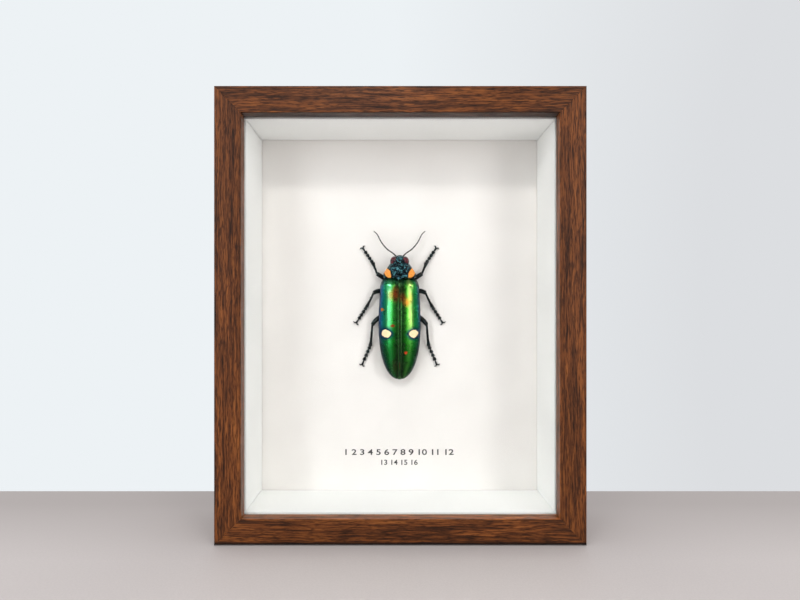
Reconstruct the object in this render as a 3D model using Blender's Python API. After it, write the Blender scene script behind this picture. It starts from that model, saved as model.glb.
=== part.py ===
"""Framed jewel beetle: a dried beetle glued to white card behind glass, in a deep mitred wooden box frame.

The origin is the middle of the frame's footprint, on the surface it stands on. +Z is up, +X is to the
right as seen through the glass, and the glass faces -Y. The beetle's head is up. Units are metres.
"""

import math

import bmesh
import bpy
from mathutils import Matrix, Vector

MM = 0.001
GAP = 0.3 * MM  # clearance kept between pieces that touch

# The frame's mouldings: an L section, mitred at the corners
FRAME_WIDTH = 176.0 * MM
FRAME_HEIGHT = 217.2 * MM
WOOD_DEPTH = 48.0 * MM
FACE_WIDTH = 12.6 * MM  # width of the front face
LIP_DEPTH = 6.35 * MM  # thickness of the lip in front of the glass
REBATE = 5.0 * MM  # how far the lip overhangs what lies behind it
OUTER_ARRIS = 0.9 * MM  # radii of the softened long edges
INNER_ARRIS = 0.6 * MM
REAR_ARRIS = 0.5 * MM
ARRIS_STEPS = 3

# What the rebate holds, from the front: glass, four spacers, card and back board
PANEL_PLAY = 0.5 * MM  # each panel is this much clear of the rebate on every side
GLASS_THICKNESS = 2.0 * MM
CARD_THICKNESS = 1.0 * MM
BOARD_THICKNESS = 2.5 * MM
CARD_DEPTH = 41.35 * MM  # from the frame's front face to the card's face

# Flexible steel points that keep the back board in
TAB_WIDTH = 5.0 * MM
TAB_THICKNESS = 0.4 * MM
TAB_OVER_BOARD = 9.0 * MM
TAB_IN_WOOD = 4.5 * MM
RAIL_TAB_X = 40.0 * MM
STILE_TAB_STEP = 64.0 * MM

# Sawtooth hanger on the back of the top rail, with its two nails
HANGER_LENGTH = 44.0 * MM
HANGER_HEIGHT = 6.0 * MM
HANGER_THICKNESS = 0.8 * MM
HANGER_JOGGLE = 0.8 * MM  # how far the toothed middle stands off the ends
HANGER_RAISED = 12.0 * MM  # half-length of the toothed middle
HANGER_RAMP = 1.5 * MM
TOOTH_PITCH = 3.0 * MM
TOOTH_HEIGHT = 1.2 * MM
NAIL_X = 18.0 * MM
NAIL_RADIUS = 0.6 * MM
NAIL_LENGTH = 7.0 * MM
NAIL_HEAD_RADIUS = 1.3 * MM
NAIL_HEAD_HEIGHT = 0.6 * MM

# The beetle, measured along the body from the tail, and up from the card
TAIL_HEIGHT = 74.1 * MM  # of the tail above the frame's foot
ELYTRA_TIP = 0.5 * MM
ELYTRA_BASE = 54.2 * MM
WIDEST = 30.0 * MM
BODY_HALF_WIDTH = 11.1 * MM
SHOULDER_HALF_WIDTH = 10.1 * MM
SHOULDER_RADIUS = 2.3 * MM
HIGHEST = 38.0 * MM
BACK_HEIGHT = 14.0 * MM
SIDE_HEIGHT = 7.4 * MM  # the elytra's side edges
BELLY_HEIGHT = 1.8 * MM
SIDE_DROP = 1.4 * MM  # of the side edge at the tail
BACK_DROP = 0.9 * MM  # of the back at the elytra's base
TAIL_LIFT = 3.0 * MM  # of the belly at the tail
CHEST_LIFT = 1.2 * MM  # of the belly at the head
SHELL_THICKNESS = 0.9 * MM
TIP_PARTING = 1.1 * MM  # half the notch between the elytra's rounded tips
TIP_ROUNDING = 2.6 * MM
PRONOTUM_BASE = ELYTRA_BASE + GAP
PRONOTUM_FRONT = 62.4 * MM
HEAD_BACK = PRONOTUM_FRONT + GAP
HEAD_CENTRE = 62.9 * MM
HEAD_RADII = (4.3 * MM, 3.4 * MM, 3.1 * MM)  # across, up from the card, along the body
HEAD_HEIGHT = 7.2 * MM
EYE_RADII = (1.5 * MM, 2.0 * MM, 1.7 * MM)
EYE_PLACE = (3.4 * MM, 8.2 * MM, 63.9 * MM)
GLUE_RADII = (4.0 * MM, 7.0 * MM)
GLUE_CENTRE = 40.0 * MM

FRONT_FACE_Y = -(WOOD_DEPTH + 2 * GAP + HANGER_THICKNESS + NAIL_HEAD_HEIGHT) / 2
REAR_FACE_Y = FRONT_FACE_Y + WOOD_DEPTH
WALL = FACE_WIDTH - REBATE  # thickness of the moulding beside the rebate
GLASS_DEPTH = LIP_DEPTH + GAP
SPACER_DEPTH = GLASS_DEPTH + GLASS_THICKNESS + GAP
BOARD_DEPTH = CARD_DEPTH + CARD_THICKNESS + GAP
TAB_DEPTH = BOARD_DEPTH + BOARD_THICKNESS + GAP
PANEL_WIDTH = FRAME_WIDTH - 2 * (WALL + PANEL_PLAY)
PANEL_HEIGHT = FRAME_HEIGHT - 2 * (WALL + PANEL_PLAY)


def make_material(name, colour, roughness, metallic=0.0, alpha=1.0):
    material = bpy.data.materials.new(name)
    material.use_nodes = True
    shader = material.node_tree.nodes["Principled BSDF"]
    shader.inputs["Base Color"].default_value = (*colour, 1.0)
    shader.inputs["Roughness"].default_value = roughness
    shader.inputs["Metallic"].default_value = metallic
    shader.inputs["Alpha"].default_value = alpha
    return material


def add_object(name, bm, material, smooth=False):
    """Turns a bmesh into a named object, shaded smooth except at its sharp edges if asked."""
    bmesh.ops.recalc_face_normals(bm, faces=bm.faces)
    mesh = bpy.data.meshes.new(name)
    bm.to_mesh(mesh)
    bm.free()
    if smooth:
        mesh.shade_smooth()
        mesh.set_sharp_from_angle(angle=math.radians(40))
    mesh.materials.append(material)
    obj = bpy.data.objects.new(name, mesh)
    bpy.context.scene.collection.objects.link(obj)
    return obj


def add_box(name, low, high, material):
    """A box between two opposite corners."""
    low, high = Vector(low), Vector(high)
    bm = bmesh.new()
    bmesh.ops.create_cube(bm, size=1)
    bmesh.ops.scale(bm, vec=high - low, verts=bm.verts)
    obj = add_object(name, bm, material)
    obj.location = (low + high) / 2
    return obj


def bridge_rings(bm, rings):
    """Joins rings of the same number of points into one closed skin with a flat cap at each end."""
    loops = [[bm.verts.new(point) for point in ring] for ring in rings]
    count = len(loops[0])
    for near, far in zip(loops, loops[1:]):
        for i in range(count):
            j = (i + 1) % count
            bm.faces.new((near[i], near[j], far[j], far[i]))
    bm.faces.new(loops[0])
    bm.faces.new(loops[-1])


def cut_away(obj, cutter):
    """Subtracts the cutter from the object and leaves the cutter out of the model."""
    cutter.hide_render = True
    cutter.display_type = "WIRE"
    cut = obj.modifiers.new(cutter.name, "BOOLEAN")
    cut.operation = "DIFFERENCE"
    cut.object = cutter


# ---------------------------------------------------------------- the frame


def arris(inward, depth, radius, start):
    """A quarter round about (inward, depth), from the start angle on, in degrees."""
    points = []
    for step in range(ARRIS_STEPS + 1):
        angle = math.radians(start + 90 * step / ARRIS_STEPS)
        points.append((inward + radius * math.cos(angle), depth + radius * math.sin(angle)))
    return points


def moulding_section():
    """The L section as (inward from the outer face, depth from the front face) points."""
    return [
        *arris(OUTER_ARRIS, OUTER_ARRIS, OUTER_ARRIS, 180),
        *arris(FACE_WIDTH - INNER_ARRIS, INNER_ARRIS, INNER_ARRIS, 270),
        (FACE_WIDTH, LIP_DEPTH),
        (WALL, LIP_DEPTH),
        (WALL, WOOD_DEPTH),
        *arris(REAR_ARRIS, WOOD_DEPTH - REAR_ARRIS, REAR_ARRIS, 90),
    ]


def add_moulding(name, length, location, turn, material):
    """One mitred length, drawn as the bottom rail and turned about Y into its place."""
    mitre_cut = GAP / 2 * math.sqrt(2)
    rings = [
        [
            (end * (length / 2 - inward - mitre_cut), depth, inward)
            for inward, depth in moulding_section()
        ]
        for end in (-1, 1)
    ]
    bm = bmesh.new()
    bridge_rings(bm, rings)
    obj = add_object(name, bm, material, smooth=True)
    obj.location = location
    obj.rotation_euler = (0, math.radians(turn), 0)
    return obj


def add_frame(wood):
    middle = FRAME_HEIGHT / 2
    side = FRAME_WIDTH / 2
    return {
        "rail_bottom": add_moulding("rail_bottom", FRAME_WIDTH, (0, FRONT_FACE_Y, 0), 0, wood),
        "rail_top": add_moulding(
            "rail_top", FRAME_WIDTH, (0, FRONT_FACE_Y, FRAME_HEIGHT), 180, wood
        ),
        "stile_left": add_moulding(
            "stile_left", FRAME_HEIGHT, (-side, FRONT_FACE_Y, middle), 90, wood
        ),
        "stile_right": add_moulding(
            "stile_right", FRAME_HEIGHT, (side, FRONT_FACE_Y, middle), -90, wood
        ),
    }


# ------------------------------------------- glass, spacers, card and board


def add_panel(name, depth, thickness, material):
    """A sheet that fills the rebate, with its front face at this depth from the frame's front."""
    front = FRONT_FACE_Y + depth
    low = (-PANEL_WIDTH / 2, front, WALL + PANEL_PLAY)
    high = (PANEL_WIDTH / 2, front + thickness, FRAME_HEIGHT - WALL - PANEL_PLAY)
    return add_box(name, low, high, material)


def add_spacers(material):
    """Four strips that line the walls flush with the lip and hold the glass forward of the card."""
    front = FRONT_FACE_Y + SPACER_DEPTH
    back = FRONT_FACE_Y + CARD_DEPTH - GAP
    outer = FRAME_WIDTH / 2 - WALL - GAP
    inner = FRAME_WIDTH / 2 - FACE_WIDTH
    low_outer, low_inner = WALL + GAP, FACE_WIDTH
    high_inner, high_outer = FRAME_HEIGHT - FACE_WIDTH, FRAME_HEIGHT - WALL - GAP
    add_box("spacer_bottom", (-outer, front, low_outer), (outer, back, low_inner), material)
    add_box("spacer_top", (-outer, front, high_inner), (outer, back, high_outer), material)
    side_low, side_high = low_inner + GAP, high_inner - GAP
    add_box("spacer_left", (-outer, front, side_low), (-inner, back, side_high), material)
    add_box("spacer_right", (inner, front, side_low), (outer, back, side_high), material)


# ------------------------------------------------- points, hanger and nails


def add_tab(name, moulding, root, inward, steel):
    """A flat steel point from inside the moulding's rebate wall out over the back board."""
    root, inward = Vector(root), Vector(inward)
    across = Vector((abs(inward.z), 0, abs(inward.x))) * TAB_WIDTH / 2
    through = Vector((0, TAB_THICKNESS / 2, 0))
    ends = (root - inward * TAB_IN_WOOD, root + inward * TAB_OVER_BOARD)
    low = Vector(map(min, *ends)) - across - through
    high = Vector(map(max, *ends)) + across + through
    add_box(name, low, high, steel)
    play = Vector((GAP, GAP, GAP))
    cut_away(moulding, add_box(f"{name}_slot", low - play, high + play, steel))


def add_tabs(frame, steel):
    middle_y = FRONT_FACE_Y + TAB_DEPTH + TAB_THICKNESS / 2
    for side, word in ((-1, "left"), (1, "right")):
        x = side * RAIL_TAB_X
        top = FRAME_HEIGHT - WALL
        add_tab(f"tab_bottom_{word}", frame["rail_bottom"], (x, middle_y, WALL), (0, 0, 1), steel)
        add_tab(f"tab_top_{word}", frame["rail_top"], (x, middle_y, top), (0, 0, -1), steel)
        wall_x = side * (FRAME_WIDTH / 2 - WALL)
        for level, place in ((-1, "lower"), (0, "middle"), (1, "upper")):
            z = FRAME_HEIGHT / 2 + level * STILE_TAB_STEP
            stile = frame[f"stile_{word}"]
            add_tab(f"tab_{word}_{place}", stile, (wall_x, middle_y, z), (-side, 0, 0), steel)


def hanger_stations():
    """(x, stand-off, depth of the tooth) along the hanger, from its left end to its right end."""
    flat = HANGER_RAISED + HANGER_RAMP
    stations = [(-HANGER_LENGTH / 2, 0, 0), (-flat, 0, 0)]
    half_teeth = round(2 * HANGER_RAISED / TOOTH_PITCH)
    for i in range(-half_teeth, half_teeth + 1):
        cut = TOOTH_HEIGHT if (i + half_teeth) % 2 else 0
        stations.append((i * TOOTH_PITCH / 2, HANGER_JOGGLE, cut))
    return [*stations, (flat, 0, 0), (HANGER_LENGTH / 2, 0, 0)]


def add_hanger(rail, steel):
    """The sawtooth strip: flat nailed ends, and a raised middle with teeth along its lower edge."""
    centre_z = FRAME_HEIGHT - WALL / 2
    wood = REAR_FACE_Y + GAP
    low, high = centre_z - HANGER_HEIGHT / 2, centre_z + HANGER_HEIGHT / 2
    rings = []
    for x, off, cut in hanger_stations():
        near, far = wood + off, wood + off + HANGER_THICKNESS
        rings.append([(x, near, low + cut), (x, far, low + cut), (x, far, high), (x, near, high)])
    bm = bmesh.new()
    bridge_rings(bm, rings)
    hanger = add_object("hanger", bm, steel)
    for side, word in ((-1, "left"), (1, "right")):
        nail_place = (side * NAIL_X, wood + HANGER_THICKNESS, centre_z)
        add_nail(f"nail_{word}", nail_place, steel)
        hole = add_round(f"nail_{word}_hole", NAIL_RADIUS + GAP, -2 * NAIL_LENGTH, NAIL_LENGTH)
        hole.location = nail_place
        cut_away(hanger, hole)
        cut_away(rail, hole)


def rod_mesh(bm, radius, start, end, sides=16):
    """A round rod along Y between two distances."""
    turn = Matrix.Rotation(math.radians(90), 4, "X")
    shift = Matrix.Translation((0, (start + end) / 2, 0))
    bmesh.ops.create_cone(
        bm,
        cap_ends=True,
        segments=sides,
        radius1=radius,
        radius2=radius,
        depth=end - start,
        matrix=shift @ turn,
    )


def add_round(name, radius, start, end):
    bm = bmesh.new()
    rod_mesh(bm, radius, start, end)
    mesh = bpy.data.meshes.new(name)
    bm.to_mesh(mesh)
    bm.free()
    obj = bpy.data.objects.new(name, mesh)
    bpy.context.scene.collection.objects.link(obj)
    return obj


def add_nail(name, place, steel):
    """A small flat-headed nail: its head clears the hanger by the gap, its shank runs into the rail."""
    rings = []
    head_top = GAP + NAIL_HEAD_HEIGHT
    for radius, y in (
        (NAIL_RADIUS, -NAIL_LENGTH),
        (NAIL_RADIUS, GAP),
        (NAIL_HEAD_RADIUS, GAP),
        (NAIL_HEAD_RADIUS, head_top),
    ):
        rings.append(circle_ring(radius, y, sides=12))
    bm = bmesh.new()
    bridge_rings(bm, rings)
    nail = add_object(name, bm, steel, smooth=True)
    nail.location = place


def circle_ring(radius, y, sides):
    angles = [2 * math.pi * i / sides for i in range(sides)]
    return [(radius * math.cos(a), y, radius * math.sin(a)) for a in angles]


# --------------------------------------------------------------- the beetle
# Pieces of the beetle are drawn in its own frame: x across, y away from the viewer with the card's face
# at 0, z along the body with the tail at 0. An empty carries that frame.


def half_width(along):
    """The plan outline: an ellipse behind the widest place, a slight taper and a round shoulder before."""
    if along < WIDEST:
        return BODY_HALF_WIDTH * math.sqrt(max(0, 1 - ((WIDEST - along) / WIDEST) ** 2))
    share = (along - WIDEST) / (ELYTRA_BASE - WIDEST)
    width = BODY_HALF_WIDTH - (BODY_HALF_WIDTH - SHOULDER_HALF_WIDTH) * share**1.5
    into_shoulder = along - (ELYTRA_BASE - SHOULDER_RADIUS)
    if into_shoulder > 0:
        into_shoulder = min(into_shoulder, SHOULDER_RADIUS)
        width -= SHOULDER_RADIUS - math.sqrt(SHOULDER_RADIUS**2 - into_shoulder**2)
    return width


def side_height(along):
    """Height of the elytra's side edge, which drops a little towards the tail."""
    return SIDE_HEIGHT - SIDE_DROP * max(0, 1 - along / (20 * MM)) ** 2


def back_height(along):
    """Height of the back over the card, along the middle."""
    if along < HIGHEST:
        share = (HIGHEST - along) / (HIGHEST + ELYTRA_TIP)
        rise = math.sqrt(max(0, 1 - share**2.2))
        return side_height(along) + (BACK_HEIGHT - side_height(along)) * rise
    return BACK_HEIGHT - BACK_DROP * ((along - HIGHEST) / (ELYTRA_BASE - HIGHEST)) ** 2


def belly_height(along):
    """Height of the underside over the card: it lifts towards the tail and at the front."""
    tail = max(0, 1 - along / (16 * MM)) ** 2
    front = max(0, along - 50 * MM) / (12 * MM)
    return BELLY_HEIGHT + TAIL_LIFT * tail + CHEST_LIFT * front


def body_stations():
    """Distances from the tail: even along the middle, closer together at the tip and the shoulder."""
    near_tip = [ELYTRA_TIP, 1.2 * MM, 2.4 * MM, 4.5 * MM, 7.5 * MM]
    middle = [i * 4.4 * MM + 11.0 * MM for i in range(9)]
    shoulder = [49.5 * MM, 51.9 * MM, 53.0 * MM, 53.8 * MM, ELYTRA_BASE]
    return near_tip + middle + shoulder


def shell_thickness(along):
    return min(SHELL_THICKNESS, 0.22 * half_width(along))


def suture_offset(along):
    """Half the parting of the elytra: they close along the suture and round off apart at the tip."""
    rounding = max(0, 1 - (along - ELYTRA_TIP) / TIP_ROUNDING)
    return GAP / 2 + TIP_PARTING * rounding**2


def vault(side, inner_x, outer_x, edge, rise, along, steps=8):
    """A quarter arch from the suture's top down to the side edge."""
    arch = []
    for i in range(steps + 1):
        angle = math.pi / 2 * i / steps
        x = inner_x + (outer_x - inner_x) * math.sin(angle)
        arch.append((side * x, -(edge + rise * math.cos(angle)), along))
    return arch


def add_elytron(name, side, material):
    """One wing case: a thin vault from the suture to the side edge, with its hollow under it."""
    rings = []
    for along in body_stations():
        inner_x, outer_x = suture_offset(along), half_width(along)
        edge, wall = side_height(along), shell_thickness(along)
        rise = back_height(along) - edge
        hollow = max(rise - wall, GAP / 2)
        outside = vault(side, inner_x, outer_x, edge, rise, along)
        inside = vault(side, inner_x, outer_x - wall, edge, hollow, along)
        rings.append(outside + inside[::-1])
    bm = bmesh.new()
    bridge_rings(bm, rings)
    return add_object(name, bm, material, smooth=True)


def egg_ring(half, top, edge, bottom, along, steps=12):
    """A closed cross-section: a vault over the side edge and a deeper keel under it."""
    ring = []
    for i in range(2 * steps):
        angle = math.pi * i / steps
        rise = (top - edge) if math.cos(angle) > 0 else (edge - bottom)
        ring.append((half * math.sin(angle), -(edge + rise * math.cos(angle)), along))
    return ring


def add_trunk(material):
    """The hind thorax and abdomen as one body, lying in the hollow of the wing cases."""
    rings = [egg_ring(0.6 * MM, 5.3 * MM, 5.0 * MM, 4.6 * MM, 0)]
    for along in body_stations():
        edge, wall = side_height(along), shell_thickness(along)
        half = half_width(along) - wall - GAP
        hollow = back_height(along) - edge - wall
        top = edge + hollow - GAP if hollow > 3 * GAP else edge - GAP
        edge = min(edge, top - GAP)
        rings.append(egg_ring(max(half, 1.0 * MM), top, edge, belly_height(along), along))
    rings[-1] = [(x, y, ELYTRA_BASE - GAP) for x, y, _ in rings[-1]]
    bm = bmesh.new()
    bridge_rings(bm, rings)
    return add_object("thorax_abdomen", bm, material, smooth=True)


def add_pronotum(material):
    """The front thorax with its broad shield: nearly parallel at the base, tapering to the head."""
    rings = []
    for along, half, top in (
        (PRONOTUM_BASE, 8.6 * MM, 12.7 * MM),
        (PRONOTUM_BASE + 0.5 * MM, 8.8 * MM, 13.1 * MM),
        (56.6 * MM, 8.7 * MM, 13.2 * MM),
        (58.4 * MM, 7.7 * MM, 12.9 * MM),
        (60.4 * MM, 6.3 * MM, 12.1 * MM),
        (61.9 * MM, 5.3 * MM, 11.2 * MM),
        (PRONOTUM_FRONT, 4.9 * MM, 10.7 * MM),
    ):
        rings.append(egg_ring(half, top, SIDE_HEIGHT - 0.4 * MM, belly_height(along), along))
    bm = bmesh.new()
    bridge_rings(bm, rings)
    return add_object("pronotum", bm, material, smooth=True)


def add_ellipsoid(name, radii, centre, material):
    """An ellipsoid with radii and centre given as (across, up from the card, along the body)."""
    bm = bmesh.new()
    bmesh.ops.create_uvsphere(bm, u_segments=20, v_segments=12, radius=1)
    bmesh.ops.scale(bm, vec=radii, verts=bm.verts)
    obj = add_object(name, bm, material, smooth=True)
    obj.location = (centre[0], -centre[1], centre[2])
    return obj


def add_head(material):
    """The head capsule with its two bulging eyes, cut flat where it meets the front thorax."""
    head = add_ellipsoid("head", HEAD_RADII, (0, HEAD_HEIGHT, HEAD_CENTRE), material)
    helpers = []
    for side, word in ((-1, "left"), (1, "right")):
        place = (side * EYE_PLACE[0], EYE_PLACE[1], EYE_PLACE[2])
        eye = add_ellipsoid(f"eye_{word}_shape", EYE_RADII, place, material)
        eye.hide_render = True
        eye.display_type = "WIRE"
        union = head.modifiers.new(eye.name, "BOOLEAN")
        union.operation = "UNION"
        union.object = eye
        helpers.append(eye)
    reach = 20 * MM
    behind = add_box("head_back_cut", (-reach, -reach, 0), (reach, reach, HEAD_BACK), material)
    cut_away(head, behind)
    return [head, behind, *helpers]


def add_limb(name, side, stations, material, sides=8):
    """A jointed limb as one tapered tube through (across, along, height, radius) stations."""
    centres = [Vector((side * x, -height, along)) for x, along, height, _ in stations]
    rings = []
    for i, (centre, station) in enumerate(zip(centres, stations)):
        before, after = centres[max(i - 1, 0)], centres[min(i + 1, len(centres) - 1)]
        turn = Vector((0, 1, 0)).rotation_difference((after - before).normalized()).to_matrix()
        ring = circle_ring(station[3], 0, sides)
        rings.append([centre + turn @ Vector(point) for point in ring])
    bm = bmesh.new()
    bridge_rings(bm, rings)
    return add_object(name, bm, material, smooth=True)


def limb_stations(*rows):
    return [tuple(value * MM for value in row) for row in rows]


# Right-hand limbs from the body outwards: across, along, height over the card, radius, in millimetres.
FRONT_LEG = limb_stations(
    (5.5, 53.0, 1.7, 0.85),
    (8.6, 54.9, 2.6, 1.2),
    (12.2, 57.4, 3.8, 1.0),
    (12.9, 59.0, 3.9, 0.55),
    (14.5, 62.8, 3.0, 0.75),
    (15.2, 64.0, 2.2, 0.6),
    (20.0, 71.3, 0.9, 0.45),
)
MIDDLE_LEG = limb_stations(
    (6.4, 47.2, 1.5, 0.9),
    (10.4, 47.8, 2.8, 1.2),
    (13.8, 47.0, 4.2, 0.95),
    (14.6, 45.6, 4.2, 0.55),
    (17.6, 39.5, 2.6, 0.75),
    (18.4, 38.2, 1.9, 0.6),
    (23.6, 30.3, 0.85, 0.45),
)
HIND_LEG = limb_stations(
    (6.8, 35.5, 1.5, 0.9),
    (11.3, 32.8, 2.8, 1.2),
    (14.9, 29.4, 4.2, 0.95),
    (15.1, 28.0, 4.2, 0.55),
    (16.0, 17.4, 2.6, 0.75),
    (16.3, 16.0, 1.9, 0.6),
    (20.5, 7.1, 0.85, 0.45),
)
ANTENNA = limb_stations(
    (2.2, 66.5, 7.0, 0.35),
    (4.3, 67.6, 6.6, 0.32),
    (7.6, 69.4, 5.8, 0.3),
    (10.1, 72.1, 4.8, 0.28),
    (11.9, 76.4, 3.6, 0.25),
    (13.4, 79.2, 2.6, 0.2),
)


def add_glue(material):
    """The low pad of clear glue between the belly and the card."""
    rings = []
    for share, height in ((1.0, GAP), (1.0, 0.8 * MM), (0.8, BELLY_HEIGHT - GAP)):
        ring = circle_ring(1, -height, sides=20)
        rings.append(
            [(x * GLUE_RADII[0] * share, y, z * GLUE_RADII[1] * share) for x, y, z in ring]
        )
    bm = bmesh.new()
    bridge_rings(bm, rings)
    glue = add_object("glue_pad", bm, material, smooth=True)
    glue.location = (0, 0, GLUE_CENTRE)
    return glue


def add_beetle(shell, chitin, clear_glue):
    card_frame = bpy.data.objects.new("beetle_on_card", None)
    card_frame.location = (0, FRONT_FACE_Y + CARD_DEPTH, TAIL_HEIGHT)
    bpy.context.scene.collection.objects.link(card_frame)
    pieces = [add_trunk(chitin), add_pronotum(shell), add_glue(clear_glue), *add_head(chitin)]
    for side, word in ((-1, "left"), (1, "right")):
        pieces.append(add_elytron(f"elytron_{word}", side, shell))
        pieces.append(add_limb(f"leg_front_{word}", side, FRONT_LEG, chitin))
        pieces.append(add_limb(f"leg_middle_{word}", side, MIDDLE_LEG, chitin))
        pieces.append(add_limb(f"leg_hind_{word}", side, HIND_LEG, chitin))
        pieces.append(add_limb(f"antenna_{word}", side, ANTENNA, chitin, sides=6))
    for piece in pieces:
        piece.parent = card_frame


def main():
    for obj in list(bpy.data.objects):
        bpy.data.objects.remove(obj)
    wood = make_material("walnut_wood", (0.11, 0.035, 0.013), 0.45)
    glass = make_material("clear_glass", (0.95, 0.97, 0.96), 0.02, alpha=0.2)
    white_strip = make_material("white_lined_strip", (0.78, 0.78, 0.76), 0.7)
    card = make_material("mount_card", (0.86, 0.84, 0.8), 0.8)
    hardboard = make_material("hardboard", (0.2, 0.11, 0.055), 0.75)
    steel = make_material("zinc_plated_steel", (0.6, 0.6, 0.58), 0.35, metallic=1.0)
    shell = make_material("metallic_green_chitin", (0.02, 0.2, 0.06), 0.25, metallic=0.8)
    chitin = make_material("dark_chitin", (0.02, 0.035, 0.03), 0.35, metallic=0.4)
    clear_glue = make_material("clear_glue", (0.8, 0.76, 0.65), 0.2)

    frame = add_frame(wood)
    add_panel("glass", GLASS_DEPTH, GLASS_THICKNESS, glass)
    add_spacers(white_strip)
    add_panel("mount_card", CARD_DEPTH, CARD_THICKNESS, card)
    add_panel("back_board", BOARD_DEPTH, BOARD_THICKNESS, hardboard)
    add_tabs(frame, steel)
    add_hanger(frame["rail_top"], steel)
    add_beetle(shell, chitin, clear_glue)


main()
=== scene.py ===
"""Framed jewel beetle: the looks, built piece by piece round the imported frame.

A dried jewel beetle glued to white card behind glass, in a deep box frame of dark-stained wood. The file
follows the frame as it is put together: mouldings, glass, spacers, card, back board and fixings, and then
the beetle from its body outwards. The table, the lights and the camera come last. Units are metres.
"""

import math

import bmesh
import bpy
import numpy as np
from mathutils import Matrix, Vector, noise


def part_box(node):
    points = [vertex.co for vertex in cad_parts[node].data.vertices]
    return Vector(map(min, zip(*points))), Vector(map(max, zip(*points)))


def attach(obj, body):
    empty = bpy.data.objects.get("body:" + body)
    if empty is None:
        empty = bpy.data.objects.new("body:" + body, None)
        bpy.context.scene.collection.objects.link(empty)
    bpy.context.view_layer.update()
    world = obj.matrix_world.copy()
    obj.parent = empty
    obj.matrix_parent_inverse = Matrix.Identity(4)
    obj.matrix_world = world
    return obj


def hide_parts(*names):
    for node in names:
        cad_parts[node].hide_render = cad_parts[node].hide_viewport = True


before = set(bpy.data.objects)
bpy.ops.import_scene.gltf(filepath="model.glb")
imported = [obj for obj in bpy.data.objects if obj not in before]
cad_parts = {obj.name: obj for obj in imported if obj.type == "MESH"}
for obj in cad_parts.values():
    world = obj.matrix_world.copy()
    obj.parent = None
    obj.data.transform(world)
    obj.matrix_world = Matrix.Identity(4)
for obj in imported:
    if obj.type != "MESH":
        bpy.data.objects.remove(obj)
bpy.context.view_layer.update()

# ------------------------------------------------------------------ mouldings
# Four lengths of one L-section moulding, milled from open-grained wood, stained dark and finished in satin
# lacquer. The long edges are softened, and the corners are mitred and glued, so a hairline shows. The bottom
# rail is planed up a little at its front foot, and the wood's lowest two millimetres are painted near black,
# a painted shade: together they make a dark line over the table.

MM = 0.001
CAD_GAP = 0.3 * MM  # what the CAD model leaves between pieces that touch

WOOD_LOW, WOOD_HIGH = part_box("rail_bottom")
FRAME_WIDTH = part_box("stile_right")[1].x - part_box("stile_left")[0].x
FRAME_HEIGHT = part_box("rail_top")[1].z
FRONT_Y, REAR_Y = WOOD_LOW.y, WOOD_HIGH.y
FACE_WIDTH = WOOD_HIGH.z
LIP_BACK_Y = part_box("glass")[0].y - CAD_GAP
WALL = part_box("spacer_bottom")[0].z - CAD_GAP  # wood beside the rebate
HAIRLINE = 0.012 * MM  # half the open line of a mitre
MITRE_EASE = 0.06 * MM
OUTER_ARRIS, INNER_ARRIS, REAR_ARRIS, LIP_ARRIS = 0.4 * MM, 0.35 * MM, 0.4 * MM, 0.2 * MM
FOOT_LIFT, FOOT_DEPTH = 0.5 * MM, 6 * MM  # how far the foot is planed up, and how far back


def start_alone():
    """Object mode with nothing selected, so that the next operator acts on the new piece only."""
    if bpy.context.object and bpy.context.object.mode != "OBJECT":
        bpy.ops.object.mode_set(mode="OBJECT")
    bpy.ops.object.select_all(action="DESELECT")


def work_on(obj):
    """Object mode with only this piece selected and active."""
    start_alone()
    obj.select_set(True)
    bpy.context.view_layer.objects.active = obj


def add_block(name, low, high):
    """A box between two opposite corners, with its object at the origin."""
    low, high = Vector(low), Vector(high)
    start_alone()
    bpy.ops.mesh.primitive_cube_add(size=1, location=(low + high) / 2, scale=high - low)
    bpy.ops.object.transform_apply(location=True, rotation=True, scale=True)
    bpy.context.object.name = name
    return bpy.context.object


def pick(obj, kind, wanted):
    """Edit mode on this piece, with only the VERT, EDGE or FACE elements that the test accepts selected."""
    if obj.mode != "EDIT":
        work_on(obj)
        bpy.ops.object.mode_set(mode="EDIT")
    bpy.ops.mesh.select_mode(type=kind)
    bpy.ops.mesh.select_all(action="DESELECT")
    bm = bmesh.from_edit_mesh(obj.data)
    for element in {"VERT": bm.verts, "EDGE": bm.edges, "FACE": bm.faces}[kind]:
        if wanted(element):
            element.select_set(True)
    bm.select_flush_mode()
    bmesh.update_edit_mesh(obj.data)


def near(value, target):
    """Whether two places along an axis are the same, to a hundredth of a millimetre."""
    return abs(value - target) < 0.01 * MM


def soften(obj, radius, steps, wanted):
    """Rounds the edges that the test accepts, given an edge's two ends."""
    pick(obj, "EDGE", lambda edge: wanted(*(vert.co for vert in edge.verts)))
    bpy.ops.mesh.bevel(offset=radius, segments=steps, affect="EDGES", clamp_overlap=True)


def end_edit(obj, smooth_angle):
    """Back to object mode, and shaded smooth except at edges sharper than the angle, in degrees. Normals
    lean on the larger faces, so that flat faces between rounded edges stay flat to the light."""
    work_on(obj)
    bpy.ops.object.shade_smooth_by_angle(angle=math.radians(smooth_angle))
    bpy.ops.object.modifier_add(type="WEIGHTED_NORMAL")
    obj.modifiers[-1].keep_sharp = True
    bpy.ops.object.modifier_apply(modifier=obj.modifiers[-1].name)
    return obj


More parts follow.
